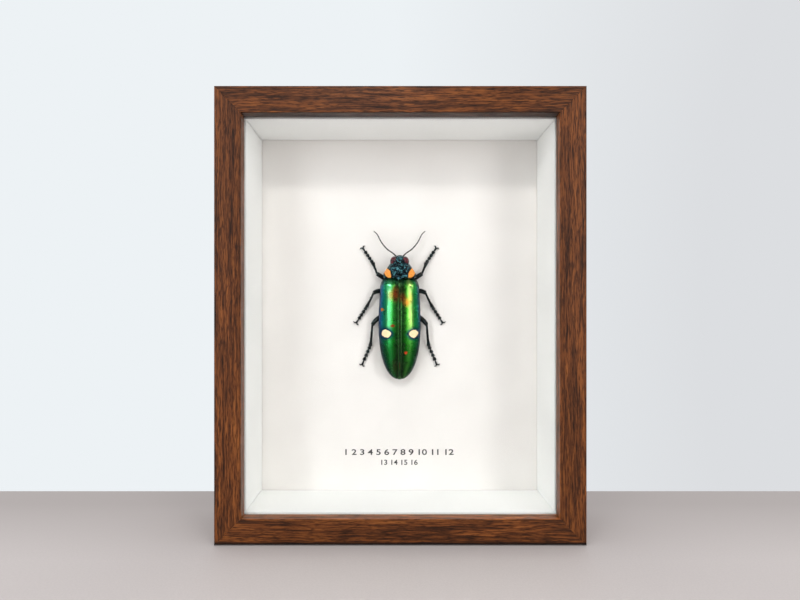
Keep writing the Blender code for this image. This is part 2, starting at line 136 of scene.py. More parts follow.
def mill_moulding(name, length, foot_lift=0.0):
    """A mitred length lying along X as the bottom rail does, centred on X = 0. Its foot may be planed up."""
    half = length / 2
    bar = add_block(name, (-half, FRONT_Y, 0), (half, REAR_Y, WALL))
    pick(bar, "FACE", lambda face: True)
    bpy.ops.mesh.bisect(plane_co=(0, LIP_BACK_Y, 0), plane_no=(0, 1, 0))

    def on_lip(face):
        return face.normal.z > 0.9 and face.calc_center_median().y < LIP_BACK_Y

    pick(bar, "FACE", on_lip)
    lip_rise = (0, 0, FACE_WIDTH - WALL)
    bpy.ops.mesh.extrude_region_move(TRANSFORM_OT_translate={"value": lip_rise})
    if foot_lift:
        pick(bar, "FACE", lambda face: True)
        bpy.ops.mesh.bisect(plane_co=(0, FRONT_Y + FOOT_DEPTH, 0), plane_no=(0, 1, 0))
        pick(bar, "VERT", lambda vert: near(vert.co.y, FRONT_Y) and near(vert.co.z, 0))
        bpy.ops.transform.translate(value=(0, 0, foot_lift))
    # One row for each long edge: where it runs, the radius that it is rounded to, and in how many steps.
    for y, z, radius, steps in (
        (FRONT_Y, foot_lift, OUTER_ARRIS, 4),
        (FRONT_Y, FACE_WIDTH, INNER_ARRIS, 3),
        (LIP_BACK_Y, FACE_WIDTH, LIP_ARRIS, 2),
        (REAR_Y, 0, REAR_ARRIS, 3),
        (REAR_Y, WALL, LIP_ARRIS, 2),
    ):
        soften(bar, radius, steps, lambda a, b: all(near(p.y, y) and near(p.z, z) for p in (a, b)))
    for end in (-1, 1):
        pick(bar, "FACE", lambda face: True)
        bpy.ops.mesh.bisect(
            plane_co=(end * (half - HAIRLINE), 0, 0),
            plane_no=(end, 0, 1),
            clear_outer=True,
            use_fill=True,
        )

    def on_mitre(a, b):
        return all(near(abs(p.x) + p.z, half - HAIRLINE) for p in (a, b))

    soften(bar, MITRE_EASE, 1, on_mitre)
    return end_edit(bar, 35)


def copy_piece(obj, name):
    """A copy with a mesh of its own."""
    twin = obj.copy()
    twin.data = obj.data.copy()
    twin.name = name
    bpy.context.scene.collection.objects.link(twin)
    return twin


def set_down(obj, matrix):
    """Moves the piece's mesh, so that its object stays at the origin."""
    obj.data.transform(matrix)
    obj.data.update()
    return obj


def colour(hex_value):
    """An sRGB hex value as linear red, green, blue and alpha."""
    channels = [int(hex_value[i : i + 2], 16) / 255 for i in (1, 3, 5)]
    return (*(c / 12.92 if c <= 0.04045 else ((c + 0.055) / 1.055) ** 2.4 for c in channels), 1.0)


def new_tree(name):
    """A material with an empty node tree."""
    material = bpy.data.materials.new(name)
    material.use_nodes = True
    material.node_tree.nodes.clear()
    return material, material.node_tree


def add_node(tree, kind, inputs=None, stops=None, **settings):
    """A shader node. An input is a value, or a node and the name of its output. Stops are a ramp's.
    Numbers stand for sockets that share a name. A colour Mix has its share at 0 and its colours at 6 and
    7, and its output is 2. A vector Map Range goes from 7 and 8 to 9 and 10. Math counts from 0."""
    node = tree.nodes.new("ShaderNode" + kind)
    for name, value in settings.items():
        setattr(node, name, value)
    for name, value in (inputs or {}).items():
        if isinstance(value, tuple) and isinstance(value[0], bpy.types.Node):
            tree.links.new(value[0].outputs[value[1]], node.inputs[name])
        else:
            node.inputs[name].default_value = value
    for i, (place, tint) in enumerate(stops or ()):
        ramp = node.color_ramp.elements
        stop = ramp[i] if i < 2 else ramp.new(place)
        stop.position = place
        stop.color = tint if isinstance(tint, tuple) else (tint, tint, tint, 1.0)
    return node


# Open-grained wood, taken as oak, in a dark walnut stain under satin lacquer: long wavy fibres in red-brown
# and near black, and fine dark pores that the lacquer leaves open, so the sheen breaks up along the grain.
# The rounded edge of the lip is painted lighter or darker than the face: painted light on the lower and side
# lips, painted shade on the top one. The foot is painted near black, a painted shade where the frame meets
# the table.
def stained_wood(name, grain_axis, offset, lip_at, inward, lip_light_shade):
    """The wood of one moulding: its grain runs along this axis, and offset picks its place in the plank.
    The lip's edge is at lip_at, up or across the frame, and inward is the side that the opening is on."""
    material, tree = new_tree(name)
    place = add_node(tree, "TexCoord")

    sway = add_node(
        tree,
        "TexNoise",
        {"Vector": (place, "Object"), "Scale": 1 / (45 * MM), "Detail": 1.0},
    )
    sway_step = add_node(
        tree,
        "MapRange",
        {"Vector": (sway, "Color"), 9: (-1.6 * MM,) * 3, 10: (1.6 * MM,) * 3},
        data_type="FLOAT_VECTOR",
    )
    swayed = add_node(
        tree, "VectorMath", {0: (place, "Object"), 1: (sway_step, "Vector")}, operation="ADD"
    )

    def streaks(length, width, detail):
        """Noise stretched along the grain, with cells of this length and width in mm."""
        scale = [1 / (width * MM)] * 3
        scale[grain_axis] = 1 / (length * MM)
        space = add_node(
            tree, "Mapping", {"Vector": (swayed, "Vector"), "Location": offset, "Scale": scale}
        )
        inputs = {"Vector": (space, "Vector"), "Scale": 1.0, "Detail": detail, "Roughness": 0.6}
        return add_node(tree, "TexNoise", inputs)

    bands = streaks(70, 3.0, 2)
    fibres = streaks(16, 0.75, 3)
    pores = streaks(4.5, 0.5, 2)
    tone = streaks(120, 22, 1)
    mixed = add_node(tree, "Math", {0: (bands, "Fac"), 1: 0.36}, operation="MULTIPLY")
    grain = add_node(
        tree, "Math", {0: (fibres, "Fac"), 1: 0.64, 2: (mixed, "Value")}, operation="MULTIPLY_ADD"
    )
    stain = add_node(
        tree,
        "ValToRGB",
        {"Fac": (grain, "Value")},
        stops=(
            (0.34, colour("#301808")),
            (0.43, colour("#4e2910")),
            (0.5, colour("#683818")),
            (0.57, colour("#7a441e")),
            (0.67, colour("#925628")),
        ),
    )
    pore = add_node(
        tree, "ValToRGB", {"Fac": (pores, "Fac")}, stops=((0.36, 0.24), (0.54, 1.0))
    )
    darkened = add_node(
        tree,
        "Mix",
        {0: 0.9, 6: (stain, "Color"), 7: (pore, "Color")},
        data_type="RGBA",
        blend_type="MULTIPLY",
    )
    shade = add_node(
        tree, "ValToRGB", {"Fac": (tone, "Fac")}, stops=((0.35, 0.8), (0.65, 1.08))
    )
    toned = add_node(
        tree,
        "Mix",
        {0: 1.0, 6: (darkened, 2), 7: (shade, "Color")},
        data_type="RGBA",
        blend_type="MULTIPLY",
    )
    axes = add_node(tree, "SeparateXYZ", {"Vector": (place, "Object")})
    # Painted light and shade: the lip's edge is made lighter on the lower and side lips, which catch the
    # light, and darker on the top one, which is in shade.
    on_lip = add_node(
        tree,
        "MapRange",
        {
            "Value": (axes, "Z" if grain_axis == 0 else "X"),
            "From Min": lip_at - inward * 0.22 * MM,
            "From Max": lip_at - inward * 0.12 * MM,
        },
    )
    lip_lit_or_shaded = add_node(
        tree,
        "Mix",
        {0: (on_lip, "Result"), 6: (toned, 2), 7: (lip_light_shade,) * 3 + (1.0,)},
        data_type="RGBA",
        blend_type="MULTIPLY",
    )
    # Painted shade: the lowest two millimetres of every moulding are darkened towards black, as the shadow
    # where the frame stands on the table.
    foot_painted_shade = add_node(
        tree,
        "MapRange",
        {"Value": (axes, "Z"), "From Min": 1.2 * MM, "From Max": 2.2 * MM, "To Min": 0.1},
    )
    foot_shaded = add_node(
        tree,
        "Mix",
        {0: 1.0, 6: (lip_lit_or_shaded, 2), 7: (foot_painted_shade, "Result")},
        data_type="RGBA",
        blend_type="MULTIPLY",
    )
    sheen = add_node(
        tree,
        "MapRange",
        {"Value": (grain, "Value"), "From Min": 0.35, "From Max": 0.7, "To Min": 0.44, "To Max": 0.26},
    )
    relief = add_node(
        tree, "Math", {0: (pore, "Color"), 1: (grain, "Value")}, operation="ADD"
    )
    bump = add_node(
        tree, "Bump", {"Height": (relief, "Value"), "Strength": 0.25, "Distance": 0.06 * MM}
    )
    lacquer = add_node(
        tree,
        "BsdfPrincipled",
        {
            "Base Color": (foot_shaded, 2),
            "Roughness": (sheen, "Result"),
            "Normal": (bump, "Normal"),
            "IOR": 1.5,
            "Specular IOR Level": 0.18,
        },
    )
    add_node(tree, "OutputMaterial", {"Surface": (lacquer, "BSDF")})
    return material


def finish_piece(obj, slot, *nodes):
    """Every piece belongs to the one body. It stands for these CAD nodes. The slot is not used."""
    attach(obj, "root")
    if nodes:
        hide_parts(*nodes)


bottom_rail = mill_moulding("bottom_rail_moulding", FRAME_WIDTH, FOOT_LIFT)
top_rail = mill_moulding("top_rail_moulding", FRAME_WIDTH)
left_stile = mill_moulding("left_stile_moulding", FRAME_HEIGHT)
right_stile = copy_piece(left_stile, "right_stile_moulding")
HALF_WIDTH, HALF_HEIGHT = FRAME_WIDTH / 2, FRAME_HEIGHT / 2
# The last column paints light or shade on each lip's edge: over 1 is painted light, under 1 is painted shade.
for moulding, turn, x, z, node, lip_at, inward, lip_light_shade in (
    (bottom_rail, 0, 0, 0, "rail_bottom", FACE_WIDTH, 1, 2.0),
    (top_rail, 180, 0, FRAME_HEIGHT, "rail_top", FRAME_HEIGHT - FACE_WIDTH, -1, 0.4),
    (left_stile, 90, -HALF_WIDTH, HALF_HEIGHT, "stile_left", FACE_WIDTH - HALF_WIDTH, 1, 1.6),
    (right_stile, -90, HALF_WIDTH, HALF_HEIGHT, "stile_right", HALF_WIDTH - FACE_WIDTH, -1, 2.0),
):
    turned = Matrix.Rotation(math.radians(turn), 4, "Y")
    set_down(moulding, Matrix.Translation((x, 0, z)) @ turned)
    grain_axis = 0 if "rail" in node else 2
    offset = (x, 0.3 * x + 0.1, 0.7 * z)
    wood = stained_wood(f"stained_wood_{node}", grain_axis, offset, lip_at, inward, lip_light_shade)
    moulding.data.materials.append(wood)
    finish_piece(moulding, "wood", node)

# ---------------------------------------------------------------------- glass
# One pane of clear picture glass with ground edges, coated on both faces against reflections. It lies in
# the rebate, and the spacers press it against the back of the lip.

GLASS_LOW, GLASS_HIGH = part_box("glass")
GLASS_ARRIS = 0.25 * MM

pane = add_block("glass_pane", GLASS_LOW, GLASS_HIGH)
soften(pane, GLASS_ARRIS, 2, lambda a, b: True)
end_edit(pane, 35)

# Picture glass with an anti-reflection coating: so clear that it hardly shows, even in front of black. The
# coating mirrors about a third of a percent of the light, which is what a bare surface of IOR 1.12 would.
clear_glass, tree = new_tree("coated_picture_glass")
sheet = add_node(
    tree,
    "BsdfPrincipled",
    {
        "Base Color": colour("#ffffff"),
        "Roughness": 0.0,
        "IOR": 1.12,
        "Transmission Weight": 1.0,
    },
)
let_through = add_node(tree, "BsdfTransparent", {"Color": colour("#fdfefd")})
light_path = add_node(tree, "LightPath")
pane_mix = add_node(
    tree,
    "MixShader",
    {0: (light_path, "Is Shadow Ray"), 1: (sheet, "BSDF"), 2: (let_through, "BSDF")},
)
add_node(tree, "OutputMaterial", {"Surface": (pane_mix, "Shader")})
pane.data.materials.append(clear_glass)
finish_piece(pane, "glass", "glass")

# -------------------------------------------------------------------- spacers
# Four strips of white foam board that line the walls and hold the glass forward of the card. Each is two
# sheets of smooth paper with foam between them, cut square with a blade: the foam shows at the cut edges.

PAPER_SKIN = 0.45 * MM
FOAM_SINK = 0.12 * MM
STRIP_ARRIS = 0.08 * MM

# White liner paper: matt and faintly fibrous, cooler than the card behind it.
liner_paper, tree = new_tree("white_liner_paper")
place = add_node(tree, "TexCoord")
fibre = add_node(
    tree, "TexNoise", {"Vector": (place, "Object"), "Scale": 1 / (0.4 * MM), "Detail": 3.0}
)
cloud = add_node(
    tree, "TexNoise", {"Vector": (place, "Object"), "Scale": 1 / (35 * MM), "Detail": 1.0}
)
liner_tint = add_node(
    tree,
    "ValToRGB",
    {"Fac": (cloud, "Fac")},
    stops=((0.35, colour("#f6f7f5")), (0.65, colour("#fafbf9"))),
)
liner_bump = add_node(
    tree, "Bump", {"Height": (fibre, "Fac"), "Strength": 0.2, "Distance": 0.04 * MM}
)
paper = add_node(
    tree,
    "BsdfPrincipled",
    {"Base Color": (liner_tint, "Color"), "Roughness": 0.72, "Normal": (liner_bump, "Normal")},
)
add_node(tree, "OutputMaterial", {"Surface": (paper, "BSDF")})

# Extruded polystyrene foam, cut with a blade: chalky, with closed cells about 0.3 mm across.
foam_core, tree = new_tree("polystyrene_foam_core")
place = add_node(tree, "TexCoord")
cells = add_node(tree, "TexVoronoi", {"Vector": (place, "Object"), "Scale": 1 / (0.3 * MM)})
foam_tint = add_node(
    tree,
    "ValToRGB",
    {"Fac": (cells, "Distance")},
    stops=((0.0, colour("#dcdcd8")), (0.6, colour("#f1f1ee"))),
)
foam_bump = add_node(
    tree, "Bump", {"Height": (cells, "Distance"), "Strength": 0.5, "Distance": 0.08 * MM}
)
foam = add_node(
    tree,
    "BsdfPrincipled",
    {"Base Color": (foam_tint, "Color"), "Roughness": 0.85, "Normal": (foam_bump, "Normal")},
)
add_node(tree, "OutputMaterial", {"Surface": (foam, "BSDF")})

for side in ("top", "bottom", "left", "right"):
    low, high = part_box(f"spacer_{side}")
    strip = add_block(f"foam_strip_{side}", low, high)
    strip.data.materials.append(liner_paper)
    strip.data.materials.append(foam_core)
    pick(strip, "FACE", lambda face: abs(face.normal.y) > 0.9)
    bpy.ops.mesh.inset(thickness=PAPER_SKIN, use_individual=True)
    strip.active_material_index = 1
    bpy.ops.object.material_slot_assign()
    bpy.ops.transform.shrink_fatten(value=-FOAM_SINK)
    soften(
        strip,
        STRIP_ARRIS,
        1,
        lambda a, b: near(a.x, b.x) + near(a.y, b.y) + near(a.z, b.z) == 2,
    )
    end_edit(strip, 35)
    finish_piece(strip, "strip", f"spacer_{side}")

# ----------------------------------------------------------------- mount card
# The sheet of thick warm-white card that carries the beetle. Under the beetle, where a caption would be,
# are two rows of plain counting numbers in dark grey ink.

CARD_LOW, CARD_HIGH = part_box("mount_card")
CARD_Y = CARD_LOW.y
CARD_ARRIS = 0.15 * MM
INK_FILM = 0.02 * MM
STROKE_WEIGHT = 0.02  # how much the printed strokes are thickened, as a share of their size
UPPER_ROW_SIZE, UPPER_ROW_Z = (59.5 * MM, 3.3 * MM), 33.4 * MM
LOWER_ROW_SIZE, LOWER_ROW_Z = (20.0 * MM, 2.9 * MM), 27.8 * MM

card = add_block("mount_card_sheet", CARD_LOW, CARD_HIGH)
soften(card, CARD_ARRIS, 2, lambda a, b: True)
end_edit(card, 35)

# Cotton-fibre card: dead matt, warm white, with short soft fibres and a barely visible tooth.
cotton_card, tree = new_tree("warm_white_cotton_card")
place = add_node(tree, "TexCoord")
tooth = add_node(
    tree,
    "TexNoise",
    {"Vector": (place, "Object"), "Scale": 1 / (0.55 * MM), "Detail": 4.0, "Roughness": 0.7},
)
mottle = add_node(
    tree, "TexNoise", {"Vector": (place, "Object"), "Scale": 1 / (28 * MM), "Detail": 2.0}
)
card_tint = add_node(
    tree,
    "ValToRGB",
    {"Fac": (mottle, "Fac")},
    stops=((0.35, colour("#e6e3df")), (0.65, colour("#eae7e3"))),
)
card_bump = add_node(
    tree, "Bump", {"Height": (tooth, "Fac"), "Strength": 0.25, "Distance": 0.06 * MM}
)
card_shader = add_node(
    tree,
    "BsdfPrincipled",
    {"Base Color": (card_tint, "Color"), "Roughness": 0.85, "Normal": (card_bump, "Normal")},
)
add_node(tree, "OutputMaterial", {"Surface": (card_shader, "BSDF")})
card.data.materials.append(cotton_card)
finish_piece(card, "card", "mount_card")

# Pigment ink, printed flat: near black-brown, slightly uneven where the card's tooth shows through.
printed_ink, tree = new_tree("printed_pigment_ink")
place = add_node(tree, "TexCoord")
speck = add_node(
    tree, "TexNoise", {"Vector": (place, "Object"), "Scale": 1 / (0.3 * MM), "Detail": 2.0}
)
ink_tint = add_node(
    tree,
    "ValToRGB",
    {"Fac": (speck, "Fac")},
    stops=((0.4, colour("#2b2a2b")), (0.7, colour("#4a4949"))),
)
ink = add_node(tree, "BsdfPrincipled", {"Base Color": (ink_tint, "Color"), "Roughness": 0.6})
add_node(tree, "OutputMaterial", {"Surface": (ink, "BSDF")})


def print_numbers(name, numbers, width_and_height, centre_z):
    """A row of counting numbers, this wide and high, lying on the card."""
    width, height = width_and_height
    start_alone()
    bpy.ops.object.text_add()
    row = bpy.context.object
    row.name = name
    row.data.body = numbers
    row.data.offset = STROKE_WEIGHT
    row.data.extrude = 1.0  # any thickness does, as the row is fitted to its size below
    bpy.ops.object.convert(target="MESH")
    points = [vert.co for vert in row.data.vertices]
    low = Vector(map(min, *points))
    high = Vector(map(max, *points))
    to_origin = Matrix.Translation(-(low + high) / 2)
    size = high - low
    fitted = Matrix.Diagonal((width / size.x, height / size.y, INK_FILM / size.z, 1))
    upright = Matrix.Rotation(math.radians(90), 4, "X")
    on_card = Matrix.Translation((0, CARD_Y - INK_FILM / 2, centre_z))
    set_down(row, on_card @ upright @ fitted @ to_origin)
    row.data.materials.append(printed_ink)
    finish_piece(row, "card")


print_numbers("numbers_upper_row", "1 2 3 4 5 6 7 8 9 10 11 12", UPPER_ROW_SIZE, UPPER_ROW_Z)
print_numbers("numbers_lower_row", "13 14 15 16", LOWER_ROW_SIZE, LOWER_ROW_Z)

# ----------------------------------------------------------------- back board
# A sheet of hardboard behind the card, sawn to size and laid in with its smooth side out. It closes the
# box, and the steel points hold it.

BOARD_LOW, BOARD_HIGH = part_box("back_board")
BOARD_ARRIS = 0.35 * MM

board = add_block("hardboard_back", BOARD_LOW, BOARD_HIGH)
soften(board, BOARD_ARRIS, 2, lambda a, b: True)
end_edit(board, 35)

# Hardboard: pressed wood fibre, brown with darker flecks 1 to 3 mm long, waxy where it met the press.
hardboard, tree = new_tree("pressed_hardboard")
place = add_node(tree, "TexCoord")
flecks = add_node(
    tree,
    "TexNoise",
    {"Vector": (place, "Object"), "Scale": 1 / (1.6 * MM), "Detail": 5.0, "Roughness": 0.75},
)
patches = add_node(
    tree, "TexNoise", {"Vector": (place, "Object"), "Scale": 1 / (40 * MM), "Detail": 2.0}
)
fleck_tint = add_node(
    tree,
    "ValToRGB",
    {"Fac": (flecks, "Fac")},
    stops=(
        (0.36, colour("#4e3522")),
        (0.48, colour("#6d4c33")),
        (0.58, colour("#7f5c40")),
        (0.72, colour("#977152")),
    ),
)
patch_shade = add_node(
    tree, "ValToRGB", {"Fac": (patches, "Fac")}, stops=((0.35, 0.88), (0.65, 1.08))
)
board_tint = add_node(
    tree,
    "Mix",
    {0: 1.0, 6: (fleck_tint, "Color"), 7: (patch_shade, "Color")},
    data_type="RGBA",
    blend_type="MULTIPLY",
)
board_bump = add_node(
    tree, "Bump", {"Height": (flecks, "Fac"), "Strength": 0.3, "Distance": 0.08 * MM}
)
pressed = add_node(
    tree,
    "BsdfPrincipled",
    {"Base Color": (board_tint, 2), "Roughness": 0.48, "Normal": (board_bump, "Normal")},
)
add_node(tree, "OutputMaterial", {"Surface": (pressed, "BSDF")})
board.data.materials.append(hardboard)
finish_piece(board, "board", "back_board")

# --------------------------------------------------------------- steel points
# Ten flexible points, punched from thin zinc-plated strip. Each is fired into the wood beside the board
# and pressed flat over it, and its rounded free end is bent up a little for a fingernail.

POINT_CORNER = 1.6 * MM  # radius of the blade's two free corners
POINT_ARRIS = 0.09 * MM
POINT_BEND = 3.0 * MM  # length of the bent end
POINT_LIFT = 0.9 * MM
BEND_STEPS = 3

# Zinc-plated steel: a bright, slightly blue-grey metal, brushed by the rolling and faintly spangled.
zinc_plate, tree = new_tree("zinc_plated_steel")
place = add_node(tree, "TexCoord")
spangle = add_node(tree, "TexVoronoi", {"Vector": (place, "Object"), "Scale": 1 / (1.4 * MM)})
rolled_space = add_node(
    tree, "Mapping", {"Vector": (place, "Object"), "Scale": (400.0, 6000.0, 6000.0)}
)
rolled = add_node(
    tree, "TexNoise", {"Vector": (rolled_space, "Vector"), "Scale": 1.0, "Detail": 2.0}
)
zinc_tint = add_node(
    tree,
    "ValToRGB",
    {"Fac": (spangle, "Distance")},
    stops=((0.0, colour("#a9abab")), (0.7, colour("#cfd0ce"))),
)
zinc_rough = add_node(
    tree,
    "MapRange",
    {"Value": (rolled, "Fac"), "From Min": 0.3, "From Max": 0.7, "To Min": 0.24, "To Max": 0.42},
)
zinc_bump = add_node(
    tree, "Bump", {"Height": (rolled, "Fac"), "Strength": 0.15, "Distance": 0.03 * MM}
)
zinc = add_node(
    tree,
    "BsdfPrincipled",
    {
        "Base Color": (zinc_tint, "Color"),
        "Metallic": 1.0,
        "Roughness": (zinc_rough, "Result"),
        "Normal": (zinc_bump, "Normal"),
    },
)
add_node(tree, "OutputMaterial", {"Surface": (zinc, "BSDF")})


def punch_point(node):
    """A point lying over the bottom of the board: its blade up, its shank down into the wood."""
    low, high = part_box(node)
    top = high.z
    point = add_block("steel_point", low, high)
    soften(point, POINT_CORNER, 4, lambda a, b: near(a.z, top) and near(b.z, top) and near(a.x, b.x))
    for share in (0.66, 0.33, 0.0):
        pick(point, "FACE", lambda face: True)
        bend_z = top - POINT_BEND * (1 - share)
        bpy.ops.mesh.bisect(plane_co=(0, 0, bend_z), plane_no=(0, 0, 1))
        pick(point, "VERT", lambda vert: vert.co.z > bend_z + 0.01 * MM)
        bpy.ops.transform.translate(value=(0, POINT_LIFT / BEND_STEPS, 0))
    soften(point, POINT_ARRIS, 2, lambda a, b: True)
    end_edit(point, 40)
    point.data.materials.append(zinc_plate)
    return point


first_node = "tab_bottom_left"
first_point = punch_point(first_node)
first_low, first_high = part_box(first_node)
first_centre = (first_low + first_high) / 2
points_at = [("tab_bottom_right", 0), ("tab_top_left", 180), ("tab_top_right", 180)]
for level in ("lower", "middle", "upper"):
    points_at += [(f"tab_left_{level}", 90), (f"tab_right_{level}", -90)]
for node, turn in points_at:
    low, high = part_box(node)
    twin = copy_piece(first_point, node.replace("tab", "steel_point"))
    turned = Matrix.Rotation(math.radians(turn), 4, "Y")
    moved = Matrix.Translation((low + high) / 2) @ turned @ Matrix.Translation(-first_centre)
    set_down(twin, moved)
    finish_piece(twin, "steel", node)
first_point.name = "steel_point_bottom_left"
finish_piece(first_point, "steel", first_node)

# --------------------------------------------------------- hanger and its nails
# A sawtooth hanger, punched and pressed from the same zinc-plated steel, and two small flat-headed nails
# that hold it to the back of the top rail.

HANGER_ARRIS = 0.14 * MM
NAIL_HEAD, NAIL_DISH, NAIL_RIM = 0.6 * MM, 0.08 * MM, 0.45 * MM  # thickness, hollow, flat rim
NAIL_ARRIS = 0.12 * MM
SHANK_RADIUS, SHANK_LENGTH = 0.6 * MM, 6.3 * MM
NAIL_TIP, TIP_WIDTH = 0.9 * MM, 0.15  # length of the point, and its end's share of the shank

# The outline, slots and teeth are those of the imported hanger. The copy is no CAD node, so its marks go.
hanger = copy_piece(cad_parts["hanger"], "sawtooth_hanger")
hanger.parent = None
for key in list(hanger.keys()):
    del hanger[key]
hanger.data.materials.clear()
pick(hanger, "FACE", lambda face: True)
bpy.ops.mesh.remove_doubles(threshold=0.005 * MM)
bpy.ops.mesh.dissolve_limited(angle_limit=math.radians(2))


def sharp_edge(edge):
    return len(edge.link_faces) == 2 and edge.calc_face_angle(0) > math.radians(30)


pick(hanger, "EDGE", sharp_edge)
bpy.ops.mesh.bevel(offset=HANGER_ARRIS, segments=2, affect="EDGES", clamp_overlap=True)
end_edit(hanger, 40)
hanger.data.materials.append(zinc_plate)
finish_piece(hanger, "steel", "hanger")

for side in ("left", "right"):
    low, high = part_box(f"nail_{side}")
    centre = (low + high) / 2
    head_radius = (high.x - low.x) / 2
    start_alone()
    bpy.ops.mesh.primitive_cylinder_add(
        vertices=24,
        radius=head_radius,
        depth=NAIL_HEAD,
        location=(centre.x, high.y - NAIL_HEAD / 2, centre.z),
        rotation=(math.radians(90), 0, 0),
    )
    bpy.ops.object.transform_apply(location=True, rotation=True, scale=True)
    nail = bpy.context.object
    nail.name = f"hanger_nail_{side}"
    pick(nail, "FACE", lambda face: face.normal.y < -0.9)
    bpy.ops.mesh.inset(thickness=head_radius - SHANK_RADIUS)
    bpy.ops.mesh.extrude_region_move(TRANSFORM_OT_translate={"value": (0, -SHANK_LENGTH, 0)})
    bpy.ops.mesh.extrude_region_move(TRANSFORM_OT_translate={"value": (0, -NAIL_TIP, 0)})
    bpy.ops.transform.resize(value=(TIP_WIDTH, 1, TIP_WIDTH))
    pick(nail, "FACE", lambda face: face.normal.y > 0.9)
    bpy.ops.mesh.inset(thickness=NAIL_RIM)
    bpy.ops.transform.translate(value=(0, -NAIL_DISH, 0))
    soften(nail, NAIL_ARRIS, 2, lambda a, b: near(a.y, high.y) and near(b.y, high.y))
    end_edit(nail, 35)
    nail.data.materials.append(zinc_plate)
    finish_piece(nail, "steel", f"nail_{side}")

# ------------------------------------------------------------------- glue pad
# A dab of clear craft glue under the chest holds the beetle to the card. It was put down by hand, so it
# has spread into a low oval with a wavy edge.

BEETLE_TAIL_Z = 74.1  # mm up the frame


def beetle_point(across, height, along):
    """A place measured in mm on the beetle: across it, over the card, and forward from its tail."""
    return Vector((across * MM, CARD_Y - height * MM, (BEETLE_TAIL_Z + along) * MM))


def add_ball(name, segments, rings):
    """A unit ball round the origin with its poles on Z, ready to be formed."""
    start_alone()
    bpy.ops.mesh.primitive_uv_sphere_add(segments=segments, ring_count=rings, radius=1)
    bpy.context.object.name = name
    return bpy.context.object


def form(obj, place):
    """Moves each vertex of the piece to where this function of its old place says."""
    for vert in obj.data.vertices:
        vert.co = place(Vector(vert.co))
    obj.data.update()


def face_out(obj):
    """Turns every face of a closed piece outwards."""
    pick(obj, "FACE", lambda face: True)
    bpy.ops.mesh.normals_make_consistent(inside=False)


GLUE_LOW, GLUE_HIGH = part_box("glue_pad")
glue_pad = add_ball("clear_glue_pad", 40, 20)
glue_middle = (GLUE_LOW + GLUE_HIGH) / 2
glue_half = (GLUE_HIGH - GLUE_LOW) / 2


def glue_place(point):
    """Where a place on the unit ball goes on the pad, flattened over and under and wavy round its edge."""
    ripple = 1 + 0.07 * noise.noise(point * 1.7)
    squared = abs(point.y) ** 0.6 * math.copysign(1, point.y)
    return glue_middle + Vector(
        (point.x * glue_half.x * ripple, squared * glue_half.y, point.z * glue_half.z * ripple)
    )


form(glue_pad, glue_place)
face_out(glue_pad)
end_edit(glue_pad, 60)

# Set polyvinyl glue: milky clear and glossy.
clear_glue, tree = new_tree("set_clear_glue")
place = add_node(tree, "TexCoord")
bubbles = add_node(tree, "TexNoise", {"Vector": (place, "Object"), "Scale": 1 / (0.9 * MM)})
glue_tint = add_node(
    tree,
    "ValToRGB",
    {"Fac": (bubbles, "Fac")},
    stops=((0.35, colour("#cfc9b8")), (0.65, colour("#e2ddd0"))),
)
glue = add_node(
    tree, "BsdfPrincipled", {"Base Color": (glue_tint, "Color"), "Roughness": 0.18, "IOR": 1.46}
)
add_node(tree, "OutputMaterial", {"Surface": (glue, "BSDF")})
glue_pad.data.materials.append(clear_glue)
finish_piece(glue_pad, "glue", "glue_pad")

# ------------------------------------------------------------ thorax, abdomen
# The hind thorax and the abdomen are one hard shell that lies in the hollow of the wing cases. Its underside
# is ringed with the plates of the abdomen, and of a dark coppery green.

# Sizes in mm. Places along the beetle are measured forward from its tail, and heights up from the card.
ELYTRA_TIP, WIDEST, HIGHEST, ELYTRA_BASE = 0.5, 30.0, 38.0, 54.2
HALF_BODY, FULLNESS = 11.1, 2.2  # half the greatest width, and how full the tail's oval is: 2 is plain
SHOULDER_WIDTH, SHOULDER_LENGTH, SHOULDER_INSET = 9.95, 5.0, 2.6
SIDE_EDGE, SIDE_DROP, BACK_TOP, BACK_DROP = 7.4, 1.4, 14.0, 0.9
ROLL_START, ROLL_DOWN = 48.0, 1.7
BELLY, TAIL_LIFT, CHEST_LIFT = 1.8, 3.0, 1.2
CASE_THICKNESS = 0.4
TRUNK_FRONT, TRUNK_CAP = 54.0, 0.05  # the caps that close its ends are this share of its length
SIDE_GAP, TOP_GAP = 0.35, 0.6  # room between the trunk and the wing cases
PLATE_EDGES = (7.5, 12.5, 18.5, 25.0, 31.5, 38.5, 47.0)
PLATE_GROOVE, KEEL, NARROWING = 0.28, 0.25, 0.06


def half_width(along):
    """Half the width of the closed wing cases: a full oval behind, a slight taper before, round shoulders."""
    if along < WIDEST:
        return HALF_BODY * max(0.0, 1 - ((WIDEST - along) / WIDEST) ** FULLNESS) ** (1 / FULLNESS)
    share = (along - WIDEST) / (ELYTRA_BASE - WIDEST)
    width = HALF_BODY - (HALF_BODY - SHOULDER_WIDTH) * share**1.5
    into = min(1.0, max(0.0, along - (ELYTRA_BASE - SHOULDER_LENGTH)) / SHOULDER_LENGTH)
    return width - SHOULDER_INSET * (1 - math.sqrt(1 - into**2))


def side_height(along):
    """The lower edge of the wing cases over the card: it dips towards the tail."""
    return SIDE_EDGE - SIDE_DROP * max(0.0, 1 - along / 20) ** 2


def back_height(along):
    """The top of the back over the card: a long fall to the tail, and a slight one to the shoulders."""
    if along < HIGHEST:
        share = (HIGHEST - along) / (HIGHEST + ELYTRA_TIP)
        rise = math.sqrt(max(0.0, 1 - share**FULLNESS))
        return side_height(along) + (BACK_TOP - side_height(along)) * rise
    return BACK_TOP - BACK_DROP * ((along - HIGHEST) / (ELYTRA_BASE - HIGHEST)) ** 2


